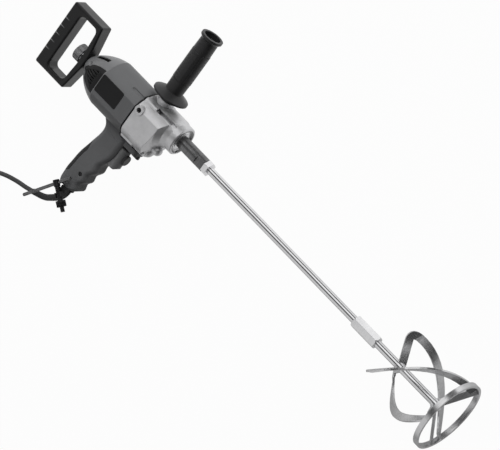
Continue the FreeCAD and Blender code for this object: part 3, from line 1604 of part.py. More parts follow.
def build():
    nodes = {
        "motor_housing": motor_housing_shape(),
        "grip_cover": grip_cover_shape(),
        "grip_pad": grip_pad_shape(),
        "grip_screw": grip_screw_shape(),
        "rear_cover": rear_cover_shape(),
        "rear_cover_screws": rear_cover_screws_shape(),
        "right_vent_grille": vent_grille_shape(1),
        "left_vent_grille": vent_grille_shape(-1),
        "gear_case": gear_case_shape(),
        "gear_case_screws": gear_case_screws_shape(),
        "bearing_plate": bearing_plate_shape(),
        "spindle_bearing": bearing_shape(bearing_front - bearing_width, bearing_width, bearing_radius,
                                         spindle_seat_radius, 0, True),
        "retaining_ring": retaining_ring_shape(),
        "spindle_bush": spindle_bush_shape(),
        "intermediate_bushes": lay_bushes_shape(),
        "armature_front_bearing": bearing_shape(barrel_front - front_bearing_width, front_bearing_width,
                                                front_bearing_radius, front_shaft_radius, motor_y, False),
        "armature_rear_bearing": bearing_shape(cover_back + rear_bearing_back, rear_bearing_width,
                                               rear_bearing_radius, rear_shaft_radius, motor_y, False),
        "stator_core": stator_core_shape(),
        "field_coils": field_coils_shape(),
        "brush_bridge": brush_bridge_shape(),
        "brush_holders": brush_holders_shape(),
        "carbon_brushes": carbon_brushes_shape(),
        "switch_body": switch_body_shape(),
        "cord_clamp": cord_clamp_shape(),
        "cord_boot": cord_boot_shape(),
        "key_holder": key_holder_shape(),
        "rear_handle_stud": rear_handle_stud_shape(),
        "spindle": spindle_shape(),
        "output_gear": output_gear_shape(),
        "mixing_rod": mixing_rod_shape(),
        "rod_coupling": rod_coupling_shape(),
        "paddle_shaft": paddle_shaft_shape(),
        "paddle_ring": paddle_ring_shape(),
        "ring_spokes": ring_spokes_shape(),
        "intermediate_shaft": lay_shaft_shape(),
        "intermediate_gear": lay_gear_shape(),
        "armature_shaft": armature_shaft_shape(),
        "armature_core": armature_core_shape(),
        "armature_windings": armature_windings_shape(),
        "commutator": commutator_shape(),
        "cooling_fan": cooling_fan_shape(),
        "trigger": trigger_shape(),
        "speed_dial": speed_dial_shape(),
        "reverse_lever": reverse_lever_shape(),
        "lock_button": lock_button_shape(),
        "rear_handle": rear_handle_shape(),
        "knob_washer": knob_washer_shape(),
        "rear_handle_knob": rear_handle_knob_shape(),
        "side_handle": side_handle_shape(),
        "side_handle_stud": side_handle_stud_shape(),
        "chuck_key": chuck_key_shape(),
        "chuck_key_bar": chuck_key_bar_shape(),
    }
    for i in range(blade_count):
        nodes["paddle_blade_%d" % (i + 1)] = blade_shape(i)
    return nodes


def build_cord():
    return {
        "cord": cord_shape(),
        "cord_coil": cord_coil_shape(),
        "cord_tie": cord_tie_shape(),
        "plug": plug_shape(),
        "plug_pins": plug_pins_shape(),
    }


# Lay the tool on its left side with the origin on the floor under the middle of its box
def laid_down(nodes, cord_nodes):
    box = FreeCAD.BoundBox()
    for shape in nodes.values():
        turned = shape.copy()
        turned.Placement = Placement(Vector(), upright).multiply(turned.Placement)
        box.add(turned.optimalBoundingBox(False, False))
    shift = Vector(-box.Center.x, -box.Center.y, -box.ZMin)
    rest = Placement(shift, upright)
    print("rest tilt", round(floor_tilt, 4), "shift", [round(v, 3) for v in shift])
    for shape in list(nodes.values()) + list(cord_nodes.values()):
        shape.Placement = rest.multiply(shape.Placement)
    return rest


nodes = build()
cord_nodes = build_cord()
rest = laid_down(nodes, cord_nodes)
route_points = [rest.multVec(p) for p in boot_route() + cord_route()[1:]]
print("route", [tuple(round(v, 1) for v in p) for p in route_points])
os.makedirs("parts", exist_ok=True)
for name, shape in list(nodes.items()) + list(cord_nodes.items()):
    shape.exportStep("parts/%s.step" % name)
    if not shape.isValid() or shape.Volume <= 0:
        print("check the shape of", name)
print(len(nodes) + len(cord_nodes), "nodes")
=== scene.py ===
import math
import bpy
from mathutils import Matrix, Vector


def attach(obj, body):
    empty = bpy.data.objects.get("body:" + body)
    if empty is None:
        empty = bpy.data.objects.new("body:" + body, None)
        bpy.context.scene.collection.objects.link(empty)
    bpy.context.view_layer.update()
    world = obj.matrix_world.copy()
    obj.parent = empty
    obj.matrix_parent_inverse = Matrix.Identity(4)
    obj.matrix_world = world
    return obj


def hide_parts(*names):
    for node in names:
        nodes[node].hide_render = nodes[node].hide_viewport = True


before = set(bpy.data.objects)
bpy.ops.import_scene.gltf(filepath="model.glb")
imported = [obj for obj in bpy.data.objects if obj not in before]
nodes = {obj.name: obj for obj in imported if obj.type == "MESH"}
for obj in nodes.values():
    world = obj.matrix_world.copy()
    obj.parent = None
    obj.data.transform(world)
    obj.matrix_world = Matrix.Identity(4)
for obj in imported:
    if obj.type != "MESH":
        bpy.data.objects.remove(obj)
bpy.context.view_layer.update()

bpy.ops.object.select_all(action="DESELECT")  # the loaded nodes come in selected
print("frame loaded:", len(nodes), "nodes")

perMetre = 1000  # camera, cord, plate, pads and strap are planned in millimetres, the scene is in metres
hair = 1e-6  # metres: points closer than this along an axis are level with each other
facing = 0.9  # a face looks along an axis when its normal has more than this of it
edgeSteps = 2  # faces across a rounded edge
smoothAngle = 35  # degrees

# how the drill lies: its own axes are turned a little about Y and moved onto the floor
lie = {"tilt": 1.8477, "shift": (-158.048, 49.648, 41.333)}
lieTurn = Matrix.Rotation(-math.radians(lie["tilt"]), 3, "Y")


def onTool(x, y, z):
    return (lieTurn @ Vector((x, y, z)) + Vector(lie["shift"])) / perMetre


def alongTool(x, y, z):
    return lieTurn @ Vector((x, y, z))


# camera at the photograph's angle
camera = {
    "right": (0.6427, 0.553, -0.5302),
    "up": (-0.6655, 0.7459, -0.0287),
    "back": (0.3796, 0.3713, 0.8474),
    "offset": (-98.2, 120.6, -5646.3),
    "lens": 279.14,
    "sensor": 36,
    "farthest": 60000,
}


def makeCamera(plan):
    directions = (plan["right"], plan["up"], plan["back"])
    spot = Vector((0, 0, 0))
    for direction, amount in zip(directions, plan["offset"]):
        spot -= Vector(direction) * amount
    data = bpy.data.cameras.new("photoCamera")
    data.lens = plan["lens"]
    data.sensor_width = plan["sensor"]
    data.clip_end = plan["farthest"] / perMetre
    obj = bpy.data.objects.new("photoCamera", data)
    bpy.context.scene.collection.objects.link(obj)
    axes = [alongTool(*direction) for direction in directions]
    turn = Matrix(axes).transposed().to_quaternion()
    obj.matrix_world = Matrix.Translation(onTool(*spot)) @ turn.to_matrix().to_4x4()
    bpy.context.scene.camera = obj


makeCamera(camera)
print("camera set")


# mains cord: out of the boot, along the floor, then its spare length in a tied coil
cordPlan = {
    "radius": 3.5,
    "length": 1730.0,
    "route": [(-325.0, -195.4, 5.9), (-338.2, -199.9, 4.6), (-356.8, -203.4, 3.6), (-382.8, -211.4, 3.6),
              (-404.8, -223.4, 4.2), (-426.9, -234.4, 5.0), (-460.9, -237.4, 5.1), (-474.9, -237.4, 5.1)],
    "coilCentre": (-481.9, -185.4),
    "coilRadius": 52.0,
    "coilPitch": 7.5,
    "coilLow": 5.05,
    "turnsIn": 3.0,
    "turnsClimb": 0.5,
    "turnsOut": 2.75,
    "pointsPerTurn": 16,
    "tail": (0.6, 22.0),
    "splineOrder": 3,
    "splineSteps": 6,
    "roundSteps": 4,
}


def coilPoint(plan, turn):
    middle = plan["turnsIn"] + plan["turnsClimb"] / 2
    radius = plan["coilRadius"] - plan["coilPitch"] * (middle - abs(turn - middle))
    share = min(1.0, max(0.0, (turn - plan["turnsIn"]) / plan["turnsClimb"]))
    height = plan["coilLow"] + plan["coilPitch"] * (share - math.sin(math.tau * share) / math.tau)
    reach = radius / math.cos(math.pi / plan["pointsPerTurn"])  # the spline runs inside its points
    angle = -math.pi / 2 - math.tau * turn
    x = plan["coilCentre"][0] + reach * math.cos(angle)
    y = plan["coilCentre"][1] + reach * math.sin(angle)
    return (x, y, height)


def makeCord(plan):
    turns = plan["turnsIn"] + plan["turnsClimb"] + plan["turnsOut"]
    count = round(turns * plan["pointsPerTurn"])
    places = list(plan["route"])
    places += [coilPoint(plan, (i + 0.5) / plan["pointsPerTurn"]) for i in range(count)]
    end = coilPoint(plan, turns)
    places.append(end)
    places.append((end[0] + plan["tail"][0], end[1] + plan["tail"][1], end[2]))
    curve = bpy.data.curves.new("mainsCord", "CURVE")
    curve.dimensions = "3D"
    curve.bevel_depth = 1  # times the points' radius, so that the box of the curve stays true
    curve.bevel_resolution = plan["roundSteps"]
    curve.use_fill_caps = True
    spline = curve.splines.new("NURBS")
    spline.points.add(len(places) - 1)
    for point, (x, y, z) in zip(spline.points, places):
        point.co = (x / perMetre, y / perMetre, z / perMetre, 1)
        point.radius = plan["radius"] / perMetre
    spline.order_u = plan["splineOrder"]
    spline.use_endpoint_u = True
    spline.resolution_u = plan["splineSteps"]
    obj = bpy.data.objects.new("mainsCord", curve)
    bpy.context.scene.collection.objects.link(obj)
    return obj


mainsCord = makeCord(cordPlan)
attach(mainsCord, "drill")
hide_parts("cord", "cord_coil")
print("cord laid")


# helpers for shader nodes
def feed(tree, value, socket):
    if hasattr(value, "is_output"):
        tree.links.new(value, socket)
    else:
        socket.default_value = value


def calculate(tree, operation, first, second=None, clamp=False):
    node = tree.nodes.new("ShaderNodeMath")
    node.operation = operation
    node.use_clamp = clamp
    feed(tree, first, node.inputs[0])
    if second is not None:
        feed(tree, second, node.inputs[1])
    return node.outputs[0]


def spread(tree, value, low, high, toLow=0.0, toHigh=1.0):
    node = tree.nodes.new("ShaderNodeMapRange")
    node.clamp = True
    tree.links.new(value, node.inputs["Value"])
    for label, amount in (("From Min", low), ("From Max", high), ("To Min", toLow), ("To Max", toHigh)):
        node.inputs[label].default_value = amount
    return node.outputs["Result"]


def objectPlace(tree):
    return tree.nodes.new("ShaderNodeTexCoord").outputs["Object"]


def stretched(tree, scale):
    node = tree.nodes.new("ShaderNodeMapping")
    node.inputs["Scale"].default_value = scale
    tree.links.new(objectPlace(tree), node.inputs["Vector"])
    return node.outputs["Vector"]


def noise(tree, scale, detail, rough, vector=None):
    node = tree.nodes.new("ShaderNodeTexNoise")
    node.inputs["Detail"].default_value = detail
    node.inputs["Roughness"].default_value = rough
    feed(tree, scale, node.inputs["Scale"])
    tree.links.new(vector or objectPlace(tree), node.inputs["Vector"])
    return node.outputs["Fac"]


def cells(tree, scale, feature):
    node = tree.nodes.new("ShaderNodeTexVoronoi")
    node.feature = feature
    tree.links.new(objectPlace(tree), node.inputs["Vector"])
    tree.links.new(scale, node.inputs["Scale"])
    return node.outputs["Distance"]


def splitPlace(tree, vector):
    node = tree.nodes.new("ShaderNodeSeparateXYZ")
    tree.links.new(vector, node.inputs["Vector"])
    return node.outputs


def blendColour(tree, mask, first, second):
    node = tree.nodes.new("ShaderNodeMix")
    node.data_type = "RGBA"
    tree.links.new(mask, node.inputs["Factor"])
    for socket, value in ((node.inputs[6], first), (node.inputs[7], second)):
        feed(tree, value if hasattr(value, "is_output") else (*value, 1), socket)
    return node.outputs[2]


def startGroup(name, inputs, outputs):
    tree = bpy.data.node_groups.new(name, "ShaderNodeTree")
    for label in inputs:
        tree.interface.new_socket(name=label, in_out="INPUT", socket_type="NodeSocketFloat")
    for label, kind in outputs:
        tree.interface.new_socket(name=label, in_out="OUTPUT", socket_type=kind)
    return tree, tree.nodes.new("NodeGroupInput"), tree.nodes.new("NodeGroupOutput")


def useGroup(tree, name, **values):
    node = tree.nodes.new("ShaderNodeGroup")
    node.node_tree = bpy.data.node_groups[name]
    for label, value in values.items():
        feed(tree, value, node.inputs[label])
    return node.outputs


# shared shader groups
surfaceOutputs = [("Height", "NodeSocketFloat"), ("Tone", "NodeSocketFloat")]
maskOutput = [("Mask", "NodeSocketFloat")]
edgeSamples = 6


def roundedNormal(tree, radius):
    bevel = tree.nodes.new("ShaderNodeBevel")
    bevel.samples = edgeSamples
    tree.links.new(radius, bevel.inputs["Radius"])
    return bevel.outputs["Normal"]


def makeSoftEdge():
    tree, enter, leave = startGroup("softEdge", ["Radius"], [("Normal", "NodeSocketVector")])
    tree.links.new(roundedNormal(tree, enter.outputs["Radius"]), leave.inputs["Normal"])


makeSoftEdge()


wearLook = {"flat": 0.97, "sharp": 0.72, "detail": 4.0, "rough": 0.6, "patches": (0.42, 0.66)}


def makeEdgeWear(look):
    tree, enter, leave = startGroup("edgeWear", ["Radius", "Scale", "Amount"], maskOutput)
    face = tree.nodes.new("ShaderNodeNewGeometry")
    dot = tree.nodes.new("ShaderNodeVectorMath")
    dot.operation = "DOT_PRODUCT"
    tree.links.new(roundedNormal(tree, enter.outputs["Radius"]), dot.inputs[0])
    tree.links.new(face.outputs["Normal"], dot.inputs[1])
    edge = spread(tree, dot.outputs["Value"], look["flat"], look["sharp"])
    patches = noise(tree, enter.outputs["Scale"], look["detail"], look["rough"])
    rubbed = calculate(tree, "MULTIPLY", edge, spread(tree, patches, *look["patches"]))
    mask = calculate(tree, "MULTIPLY", rubbed, enter.outputs["Amount"], True)
    tree.links.new(mask, leave.inputs["Mask"])


makeEdgeWear(wearLook)


# painted shade: settings for darkening crevices and recesses, found by ambient occlusion and broken into
# noise patches
creviceShadeLook = {"samples": 6, "open": 0.95, "deep": 0.35, "scale": 160.0, "detail": 4.0, "rough": 0.6,
            "patches": (0.3, 0.75)}


# painted shade: the mask is highest where ambient occlusion finds crevices and recesses, broken into noise
# patches
def makePaintedCreviceShade(look):
    tree, enter, leave = startGroup("paintedCreviceShade", ["Reach", "Amount"], maskOutput)
    shade = tree.nodes.new("ShaderNodeAmbientOcclusion")
    shade.samples = look["samples"]
    tree.links.new(enter.outputs["Reach"], shade.inputs["Distance"])
    hidden = spread(tree, shade.outputs["AO"], look["open"], look["deep"])
    patches = noise(tree, look["scale"], look["detail"], look["rough"])
    patchyShade = calculate(tree, "MULTIPLY", hidden, spread(tree, patches, *look["patches"]))
    mask = calculate(tree, "MULTIPLY", patchyShade, enter.outputs["Amount"], True)
    tree.links.new(mask, leave.inputs["Mask"])


makePaintedCreviceShade(creviceShadeLook)


grainLook = {
    "fineDetail": 2.0, "fineRough": 0.5,
    "cloud": {"scale": 26.0, "detail": 3.0, "rough": 0.55}, "cloudSpan": (0.3, 0.7), "cloudShare": 0.75,
    "speck": {"scale": 900.0, "detail": 2.0, "rough": 0.5}, "speckSpan": (0.35, 0.65), "speckShare": 0.25,
}


def makeMouldGrain(look):
    tree, enter, leave = startGroup("mouldGrain", ["Scale"], surfaceOutputs)
    coarse = cells(tree, enter.outputs["Scale"], "SMOOTH_F1")
    fine = noise(tree, enter.outputs["Scale"], look["fineDetail"], look["fineRough"])
    tree.links.new(calculate(tree, "ADD", coarse, fine), leave.inputs["Height"])
    cloud = spread(tree, noise(tree, **look["cloud"]), *look["cloudSpan"], 0.0, look["cloudShare"])
    speck = spread(tree, noise(tree, **look["speck"]), *look["speckSpan"], 0.0, look["speckShare"])
    tree.links.new(calculate(tree, "ADD", cloud, speck), leave.inputs["Tone"])


makeMouldGrain(grainLook)


castLook = {
    "sandDetail": 6.0, "sandRough": 0.65,
    "pitScale": 0.5, "pitSpan": (0.08, 0.3),
    "cloud": {"scale": 48.0, "detail": 4.0, "rough": 0.6}, "cloudSpan": (0.32, 0.68),
}


def makeCastSkin(look):
    tree, enter, leave = startGroup("castSkin", ["Scale"], surfaceOutputs)
    sand = noise(tree, enter.outputs["Scale"], look["sandDetail"], look["sandRough"])
    pitScale = calculate(tree, "MULTIPLY", enter.outputs["Scale"], look["pitScale"])
    pits = spread(tree, cells(tree, pitScale, "F1"), *look["pitSpan"])
    tree.links.new(calculate(tree, "MULTIPLY", sand, pits), leave.inputs["Height"])
    cloud = spread(tree, noise(tree, **look["cloud"]), *look["cloudSpan"])
    tree.links.new(cloud, leave.inputs["Tone"])


makeCastSkin(castLook)


turnedLook = {
    "stretch": (1800, 12, 12),  # fine rings across the rod
    "ring": {"scale": 1.0, "detail": 3.0, "rough": 0.6},
    "smear": {"scale": 70.0, "detail": 4.0, "rough": 0.6},
    "span": (0.15, 0.4),
}


def makeTurnedLines(look):
    tree, enter, leave = startGroup("turnedLines", [], surfaceOutputs)
    rings = noise(tree, vector=stretched(tree, look["stretch"]), **look["ring"])
    tree.links.new(rings, leave.inputs["Height"])
    smeared = calculate(tree, "MULTIPLY", rings, noise(tree, **look["smear"]))
    tree.links.new(spread(tree, smeared, *look["span"]), leave.inputs["Tone"])


makeTurnedLines(turnedLook)


# the bar of the rear handle, and painted highlights: light lines across its grooves round the outer edge,
# fading away from that edge
barLook = {"ringHalf": (0.03, 0.07), "lastRing": (2.3, 2.4), "fade": (0.003, 0.011),
           "barDepth": (0.02, 0.026)}


def makeBarRingHighlights(look):
    outputs = [("Rings", "NodeSocketFloat"), ("Bar", "NodeSocketFloat")]
    tree, enter, leave = startGroup("barRingHighlights", ["Back", "Middle", "Pitch"], outputs)
    place = splitPlace(tree, objectPlace(tree))
    inside = calculate(tree, "SUBTRACT", place["X"], enter.outputs["Back"])
    along = calculate(tree, "SUBTRACT", place["Y"], enter.outputs["Middle"])
    steps = calculate(tree, "DIVIDE", along, enter.outputs["Pitch"])
    near = spread(tree, calculate(tree, "PINGPONG", steps, 0.5), *look["ringHalf"], 1.0, 0.0)
    counted = spread(tree, calculate(tree, "ABSOLUTE", steps), *look["lastRing"], 1.0, 0.0)
    fading = spread(tree, inside, *look["fade"], 1.0, 0.0)
    rings = calculate(tree, "MULTIPLY", calculate(tree, "MULTIPLY", near, counted), fading)
    tree.links.new(rings, leave.inputs["Rings"])
    tree.links.new(spread(tree, inside, *look["barDepth"], 1.0, 0.0), leave.inputs["Bar"])


makeBarRingHighlights(barLook)
print("shader groups made")


# steps that the finishes share
def startFinish(name, rough, metal):
    material = bpy.data.materials.new(name)
    material.use_nodes = True
    shader = material.node_tree.nodes["Principled BSDF"]
    shader.inputs["Roughness"].default_value = rough
    shader.inputs["Metallic"].default_value = metal
    return material, material.node_tree, shader


# painted shade: blends the colour towards a darker copy of the finish's own colour in crevices and recesses
def addPaintedCreviceShade(tree, colour, dark, kind):
    paintedShade = useGroup(tree, "paintedCreviceShade", Reach=kind["shadeReach"], Amount=kind["paintedShade"])
    return blendColour(tree, paintedShade["Mask"], colour, [kind["shadeTone"] * v for v in dark])


def addWear(tree, colour, worn, kind, amount):
    rubbed = useGroup(tree, "edgeWear", Radius=kind["wornEdge"], Scale=kind["wornScale"], Amount=amount)
    return blendColour(tree, rubbed["Mask"], colour, worn)


def varyRoughness(tree, shader, tone, low, high):
    tree.links.new(spread(tree, tone, 0.0, 1.0, low, high), shader.inputs["Roughness"])


def bumpFrom(tree, shader, height, strength, depth, normal=None):
    bump = tree.nodes.new("ShaderNodeBump")
    bump.inputs["Strength"].default_value = strength
    bump.inputs["Distance"].default_value = depth
    tree.links.new(height, bump.inputs["Height"])
    if normal:
        tree.links.new(normal, bump.inputs["Normal"])
    tree.links.new(bump.outputs["Normal"], shader.inputs["Normal"])


# plastics: "on" lists the nodes that have the finish, lengths are in metres
loopCorners = nodes["rear_handle"].bound_box
loopBar = {
    "back": min(corner[0] for corner in loopCorners),
    "middle": sum(corner[1] for corner in loopCorners) / len(loopCorners),
    "pitch": 0.014,
    "round": 0.0045,
    # painted highlight: the light grey of the lines across the bar's grooves
    "ring": (0.18, 0.18, 0.182),
}
plasticKind = {"wornEdge": 0.0011, "wornScale": 240.0, "shadeReach": 0.007, "paintedShade": 0.3, "shadeTone": 0.5,
               "smoother": 0.06, "rougher": 0.08, "bump": 0.35, "depth": 0.00006}
plastics = {
    "housingGrey": {
        "on": ["motor_housing", "grip_cover"],
        "dark": (0.078, 0.079, 0.081), "light": (0.096, 0.097, 0.1), "worn": (0.18, 0.18, 0.185),
        "rough": 0.5, "grain": 2600.0, "wear": 0.5, "edge": 0.0014, "gloss": 0.35,
    },
    "coverGrey": {
        "on": ["rear_cover"],
        "dark": (0.103, 0.104, 0.107), "light": (0.126, 0.127, 0.13), "worn": (0.2, 0.2, 0.205),
        "rough": 0.34, "grain": 2600.0, "wear": 0.5, "edge": 0.0014, "gloss": 0.55,
    },
    # painted light: a lighter copy of the housing grey, to make up for the shade the trigger sits in
    "triggerLitGrey": {
        "on": ["trigger"],
        "dark": (0.12, 0.121, 0.123), "light": (0.145, 0.146, 0.148), "worn": (0.2, 0.2, 0.205),
        "rough": 0.45, "grain": 2600.0, "wear": 0.5, "edge": 0.001, "gloss": 0.42,
    },
    "dialBlack": {
        "on": ["speed_dial", "reverse_lever"],
        "dark": (0.02, 0.02, 0.0205), "light": (0.028, 0.028, 0.0285), "worn": (0.09, 0.09, 0.092),
        "rough": 0.4, "grain": 2600.0, "wear": 0.8, "edge": 0.001, "gloss": 0.42,
    },
    "blackPlastic": {
        "on": ["right_vent_grille", "left_vent_grille", "brush_bridge", "switch_body", "cord_clamp",
               "cooling_fan", "lock_button", "plug"],
        "dark": (0.007, 0.007, 0.0074), "light": (0.011, 0.011, 0.0115), "worn": (0.04, 0.04, 0.041),
        "rough": 0.44, "grain": 2200.0, "wear": 0.4, "edge": 0.0012, "gloss": 0.2,
    },
    "loopBlack": {
        "on": ["rear_handle"],
        "dark": (0.0045, 0.0045, 0.0048), "light": (0.0075, 0.0075, 0.0078), "worn": (0.035, 0.035, 0.036),
        "rough": 0.28, "grain": 1700.0, "wear": 0.5, "edge": 0.0018, "gloss": 0.36, "bar": loopBar,
    },
    "handleBlack": {
        "on": ["side_handle"],
        "dark": (0.012, 0.012, 0.0124), "light": (0.017, 0.017, 0.0175), "worn": (0.05, 0.05, 0.051),
        "rough": 0.38, "grain": 1700.0, "wear": 0.5, "edge": 0.0018, "gloss": 0.35,
    },
    "knobGrey": {
        "on": ["rear_handle_knob"],
        "dark": (0.1, 0.1, 0.102), "light": (0.13, 0.13, 0.132), "worn": (0.22, 0.22, 0.225),
        "rough": 0.42, "grain": 2400.0, "wear": 0.6, "edge": 0.001, "gloss": 0.42,
    },
}


def plasticFinish(name, look, kind=plasticKind):
    rough = look["rough"]
    material, tree, shader = startFinish(name, rough, 0.0)
    shader.inputs["Specular IOR Level"].default_value = look["gloss"]
    skin = useGroup(tree, "mouldGrain", Scale=look["grain"])
    colour = blendColour(tree, skin["Tone"], look["dark"], look["light"])
    colour = addPaintedCreviceShade(tree, colour, look["dark"], kind)
    colour = addWear(tree, colour, look["worn"], kind, look["wear"])
    edge = look["edge"]
    if "bar" in look:
        bar = look["bar"]
        # painted highlight: light lines across the bar's grooves near its outer edge; the bar's mask also
        # widens the soft edge that rounds its shading
        ringed = useGroup(tree, "barRingHighlights", Back=bar["back"], Middle=bar["middle"], Pitch=bar["pitch"])
        colour = blendColour(tree, ringed["Rings"], colour, bar["ring"])
        edge = spread(tree, ringed["Bar"], 0.0, 1.0, edge, bar["round"])
    tree.links.new(colour, shader.inputs["Base Color"])
    varyRoughness(tree, shader, skin["Tone"], rough - kind["smoother"], rough + kind["rougher"])
    soft = useGroup(tree, "softEdge", Radius=edge)
    bumpFrom(tree, shader, skin["Height"], kind["bump"], kind["depth"], soft["Normal"])
    return material


# castings
castKind = {"metal": 0.85, "scale": 700.0, "edge": 0.0013,
            "wornEdge": 0.0013, "wornScale": 180.0, "wear": 0.7,
            "shadeReach": 0.009, "paintedShade": 0.75, "shadeTone": 0.35, "smoother": 0.07, "rougher": 0.1,
            "bump": 0.5, "depth": 0.00035}
castings = {
    "castAluminium": {
        "on": ["gear_case"],
        "dark": (0.58, 0.58, 0.59), "light": (0.72, 0.72, 0.73), "worn": (0.85, 0.85, 0.86), "rough": 0.4,
    },
    # painted shade: the bearing plate, aluminium in itself, is near-black to stand in for the shadowed gap
    # between the barrel and the gear case
    "paintedShadePlate": {
        "on": ["bearing_plate"],
        "dark": (0.02, 0.02, 0.0205), "light": (0.035, 0.035, 0.0355), "worn": (0.09, 0.09, 0.092),
        "rough": 0.55,
    },
}


def castFinish(name, look, kind=castKind):
    rough = look["rough"]
    material, tree, shader = startFinish(name, rough, kind["metal"])
    skin = useGroup(tree, "castSkin", Scale=kind["scale"])
    colour = blendColour(tree, skin["Tone"], look["dark"], look["light"])
    colour = addPaintedCreviceShade(tree, colour, look["dark"], kind)
    colour = addWear(tree, colour, look["worn"], kind, kind["wear"])
    tree.links.new(colour, shader.inputs["Base Color"])
    varyRoughness(tree, shader, skin["Tone"], rough - kind["smoother"], rough + kind["rougher"])
    soft = useGroup(tree, "softEdge", Radius=kind["edge"])
    bumpFrom(tree, shader, skin["Height"], kind["bump"], kind["depth"], soft["Normal"])
    return material


# turned and rolled metal
steelKind = {"metal": 1.0, "shadeReach": 0.004, "paintedShade": 0.5, "shadeTone": 0.4, "rougher": 1.3, "smoother": 0.8,
             "bump": 0.2}
steels = {
    "darkSteel": {
        "on": ["spindle", "retaining_ring", "stator_core", "armature_core", "gear_case_screws",
               "chuck_key_bar"],
        "dark": (0.16, 0.16, 0.162), "light": (0.26, 0.26, 0.263),
        "rough": 0.36, "depth": 0.00002, "edge": 0.0004,
    },
    "blackSteel": {
        "on": ["grip_screw", "rear_cover_screws", "chuck_key"],
        "dark": (0.03, 0.03, 0.031), "light": (0.06, 0.06, 0.062),
        "rough": 0.42, "depth": 0.00006, "edge": 0.0004,
    },
    "satinSteel": {
        "on": ["spindle_bearing"],
        "dark": (0.74, 0.74, 0.75), "light": (0.88, 0.88, 0.89),
        "rough": 0.45, "depth": 0.00003, "edge": 0.0004,
    },
    "brightSteel": {
        "on": ["armature_front_bearing", "armature_rear_bearing", "output_gear", "intermediate_shaft",
               "intermediate_gear", "armature_shaft", "rear_handle_stud", "knob_washer", "side_handle_stud"],
        "dark": (0.52, 0.52, 0.53), "light": (0.68, 0.68, 0.69),
        "rough": 0.24, "depth": 0.00005, "edge": 0.0004,
    },
    "chrome": {
        "on": ["mixing_rod", "rod_coupling", "paddle_shaft"],
        "dark": (0.78, 0.78, 0.79), "light": (0.88, 0.88, 0.89),
        "rough": 0.13, "depth": 0.000002, "edge": 0.0006,
    },
    "paddleSteel": {
        "on": ["paddle_blade_1", "paddle_blade_2", "paddle_blade_3", "ring_spokes", "paddle_ring"],
        "dark": (0.66, 0.66, 0.668), "light": (0.78, 0.78, 0.788),
        "rough": 0.22, "depth": 0.00001, "edge": 0.0007,
    },
    "bronze": {
        "on": ["spindle_bush", "intermediate_bushes", "brush_holders", "plug_pins"],
        "dark": (0.42, 0.3, 0.16), "light": (0.56, 0.42, 0.24),
        "rough": 0.35, "depth": 0.00006, "edge": 0.0004,
    },
}


def steelFinish(name, look, kind=steelKind):
    rough = look["rough"]
    material, tree, shader = startFinish(name, rough, kind["metal"])
    lines = useGroup(tree, "turnedLines")
    colour = blendColour(tree, lines["Tone"], look["dark"], look["light"])
    colour = addPaintedCreviceShade(tree, colour, look["dark"], kind)
    tree.links.new(colour, shader.inputs["Base Color"])
    varyRoughness(tree, shader, lines["Tone"], rough * kind["rougher"], rough * kind["smoother"])
    soft = useGroup(tree, "softEdge", Radius=look["edge"])
    bumpFrom(tree, shader, lines["Height"], kind["bump"], look["depth"], soft["Normal"])
    return material


# rubber and carbon
rubberKind = {"gloss": 0.3, "grain": 1500.0, "shadeReach": 0.005, "paintedShade": 0.4, "shadeTone": 0.6,
              "smoother": 0.05, "rougher": 0.1, "bump": 0.3, "depth": 0.00007}
rubbers = {
    "blackRubber": {
        "on": ["cord_boot", "key_holder", "cord_tie", "grip_pad"],
        "dark": (0.014, 0.014, 0.0145), "light": (0.022, 0.022, 0.0225), "rough": 0.62,
    },
    "cordRubber": {
        "on": ["cord", "cord_coil"],
        "dark": (0.035, 0.035, 0.036), "light": (0.055, 0.055, 0.056), "rough": 0.56,
    },
    "carbon": {
        "on": ["carbon_brushes"],
        "dark": (0.02, 0.02, 0.02), "light": (0.035, 0.035, 0.035), "rough": 0.7,
    },
}


def rubberFinish(name, look, kind=rubberKind):
    rough = look["rough"]
    material, tree, shader = startFinish(name, rough, 0.0)
    shader.inputs["Specular IOR Level"].default_value = kind["gloss"]
    skin = useGroup(tree, "mouldGrain", Scale=kind["grain"])
    colour = blendColour(tree, skin["Tone"], look["dark"], look["light"])
    colour = addPaintedCreviceShade(tree, colour, look["dark"], kind)
    tree.links.new(colour, shader.inputs["Base Color"])
    varyRoughness(tree, shader, skin["Tone"], rough - kind["smoother"], rough + kind["rougher"])
    bumpFrom(tree, shader, skin["Height"], kind["bump"], kind["depth"])
    return material


# copper
windings = {
    "copperWire": {
        "on": ["field_coils", "armature_windings", "commutator"],
        "dark": (0.32, 0.13, 0.06), "light": (0.62, 0.3, 0.17), "rough": 0.3, "metal": 0.9,
        "stretch": (60, 900, 900),  # wires lie along the motor
        "wire": {"scale": 1.0, "detail": 2.0, "rough": 0.5}, "span": (0.35, 0.65),
        "bump": 0.6, "depth": 0.0004,
    },
}


def woundFinish(name, look):
    material, tree, shader = startFinish(name, look["rough"], look["metal"])
    wires = noise(tree, vector=stretched(tree, look["stretch"]), **look["wire"])
    colour = blendColour(tree, spread(tree, wires, *look["span"]), look["dark"], look["light"])
    tree.links.new(colour, shader.inputs["Base Color"])
    bumpFrom(tree, shader, wires, look["bump"], look["depth"])
    return material


makers = ((plasticFinish, plastics), (castFinish, castings), (steelFinish, steels), (rubberFinish, rubbers),
          (woundFinish, windings))
finishes = {}
dressed = 0
for maker, table in makers:
    for name, look in table.items():
        finishes[name] = maker(name, look)
        for member in look["on"]:
            data = nodes[member].data
            data.materials.clear()
            data.materials.append(finishes[name])
            dressed += 1
mainsCord.data.materials.append(finishes["cordRubber"])
print("finishes given to", dressed, "nodes")


# tools for modelling by hand
def startBox(name, size):
    bpy.ops.object.select_all(action="DESELECT")
    bpy.ops.mesh.primitive_cube_add(size=1)
    obj = bpy.context.object
    obj.name = name
    obj.scale = size
    bpy.ops.object.transform_apply(location=False, rotation=False, scale=True)
    return obj


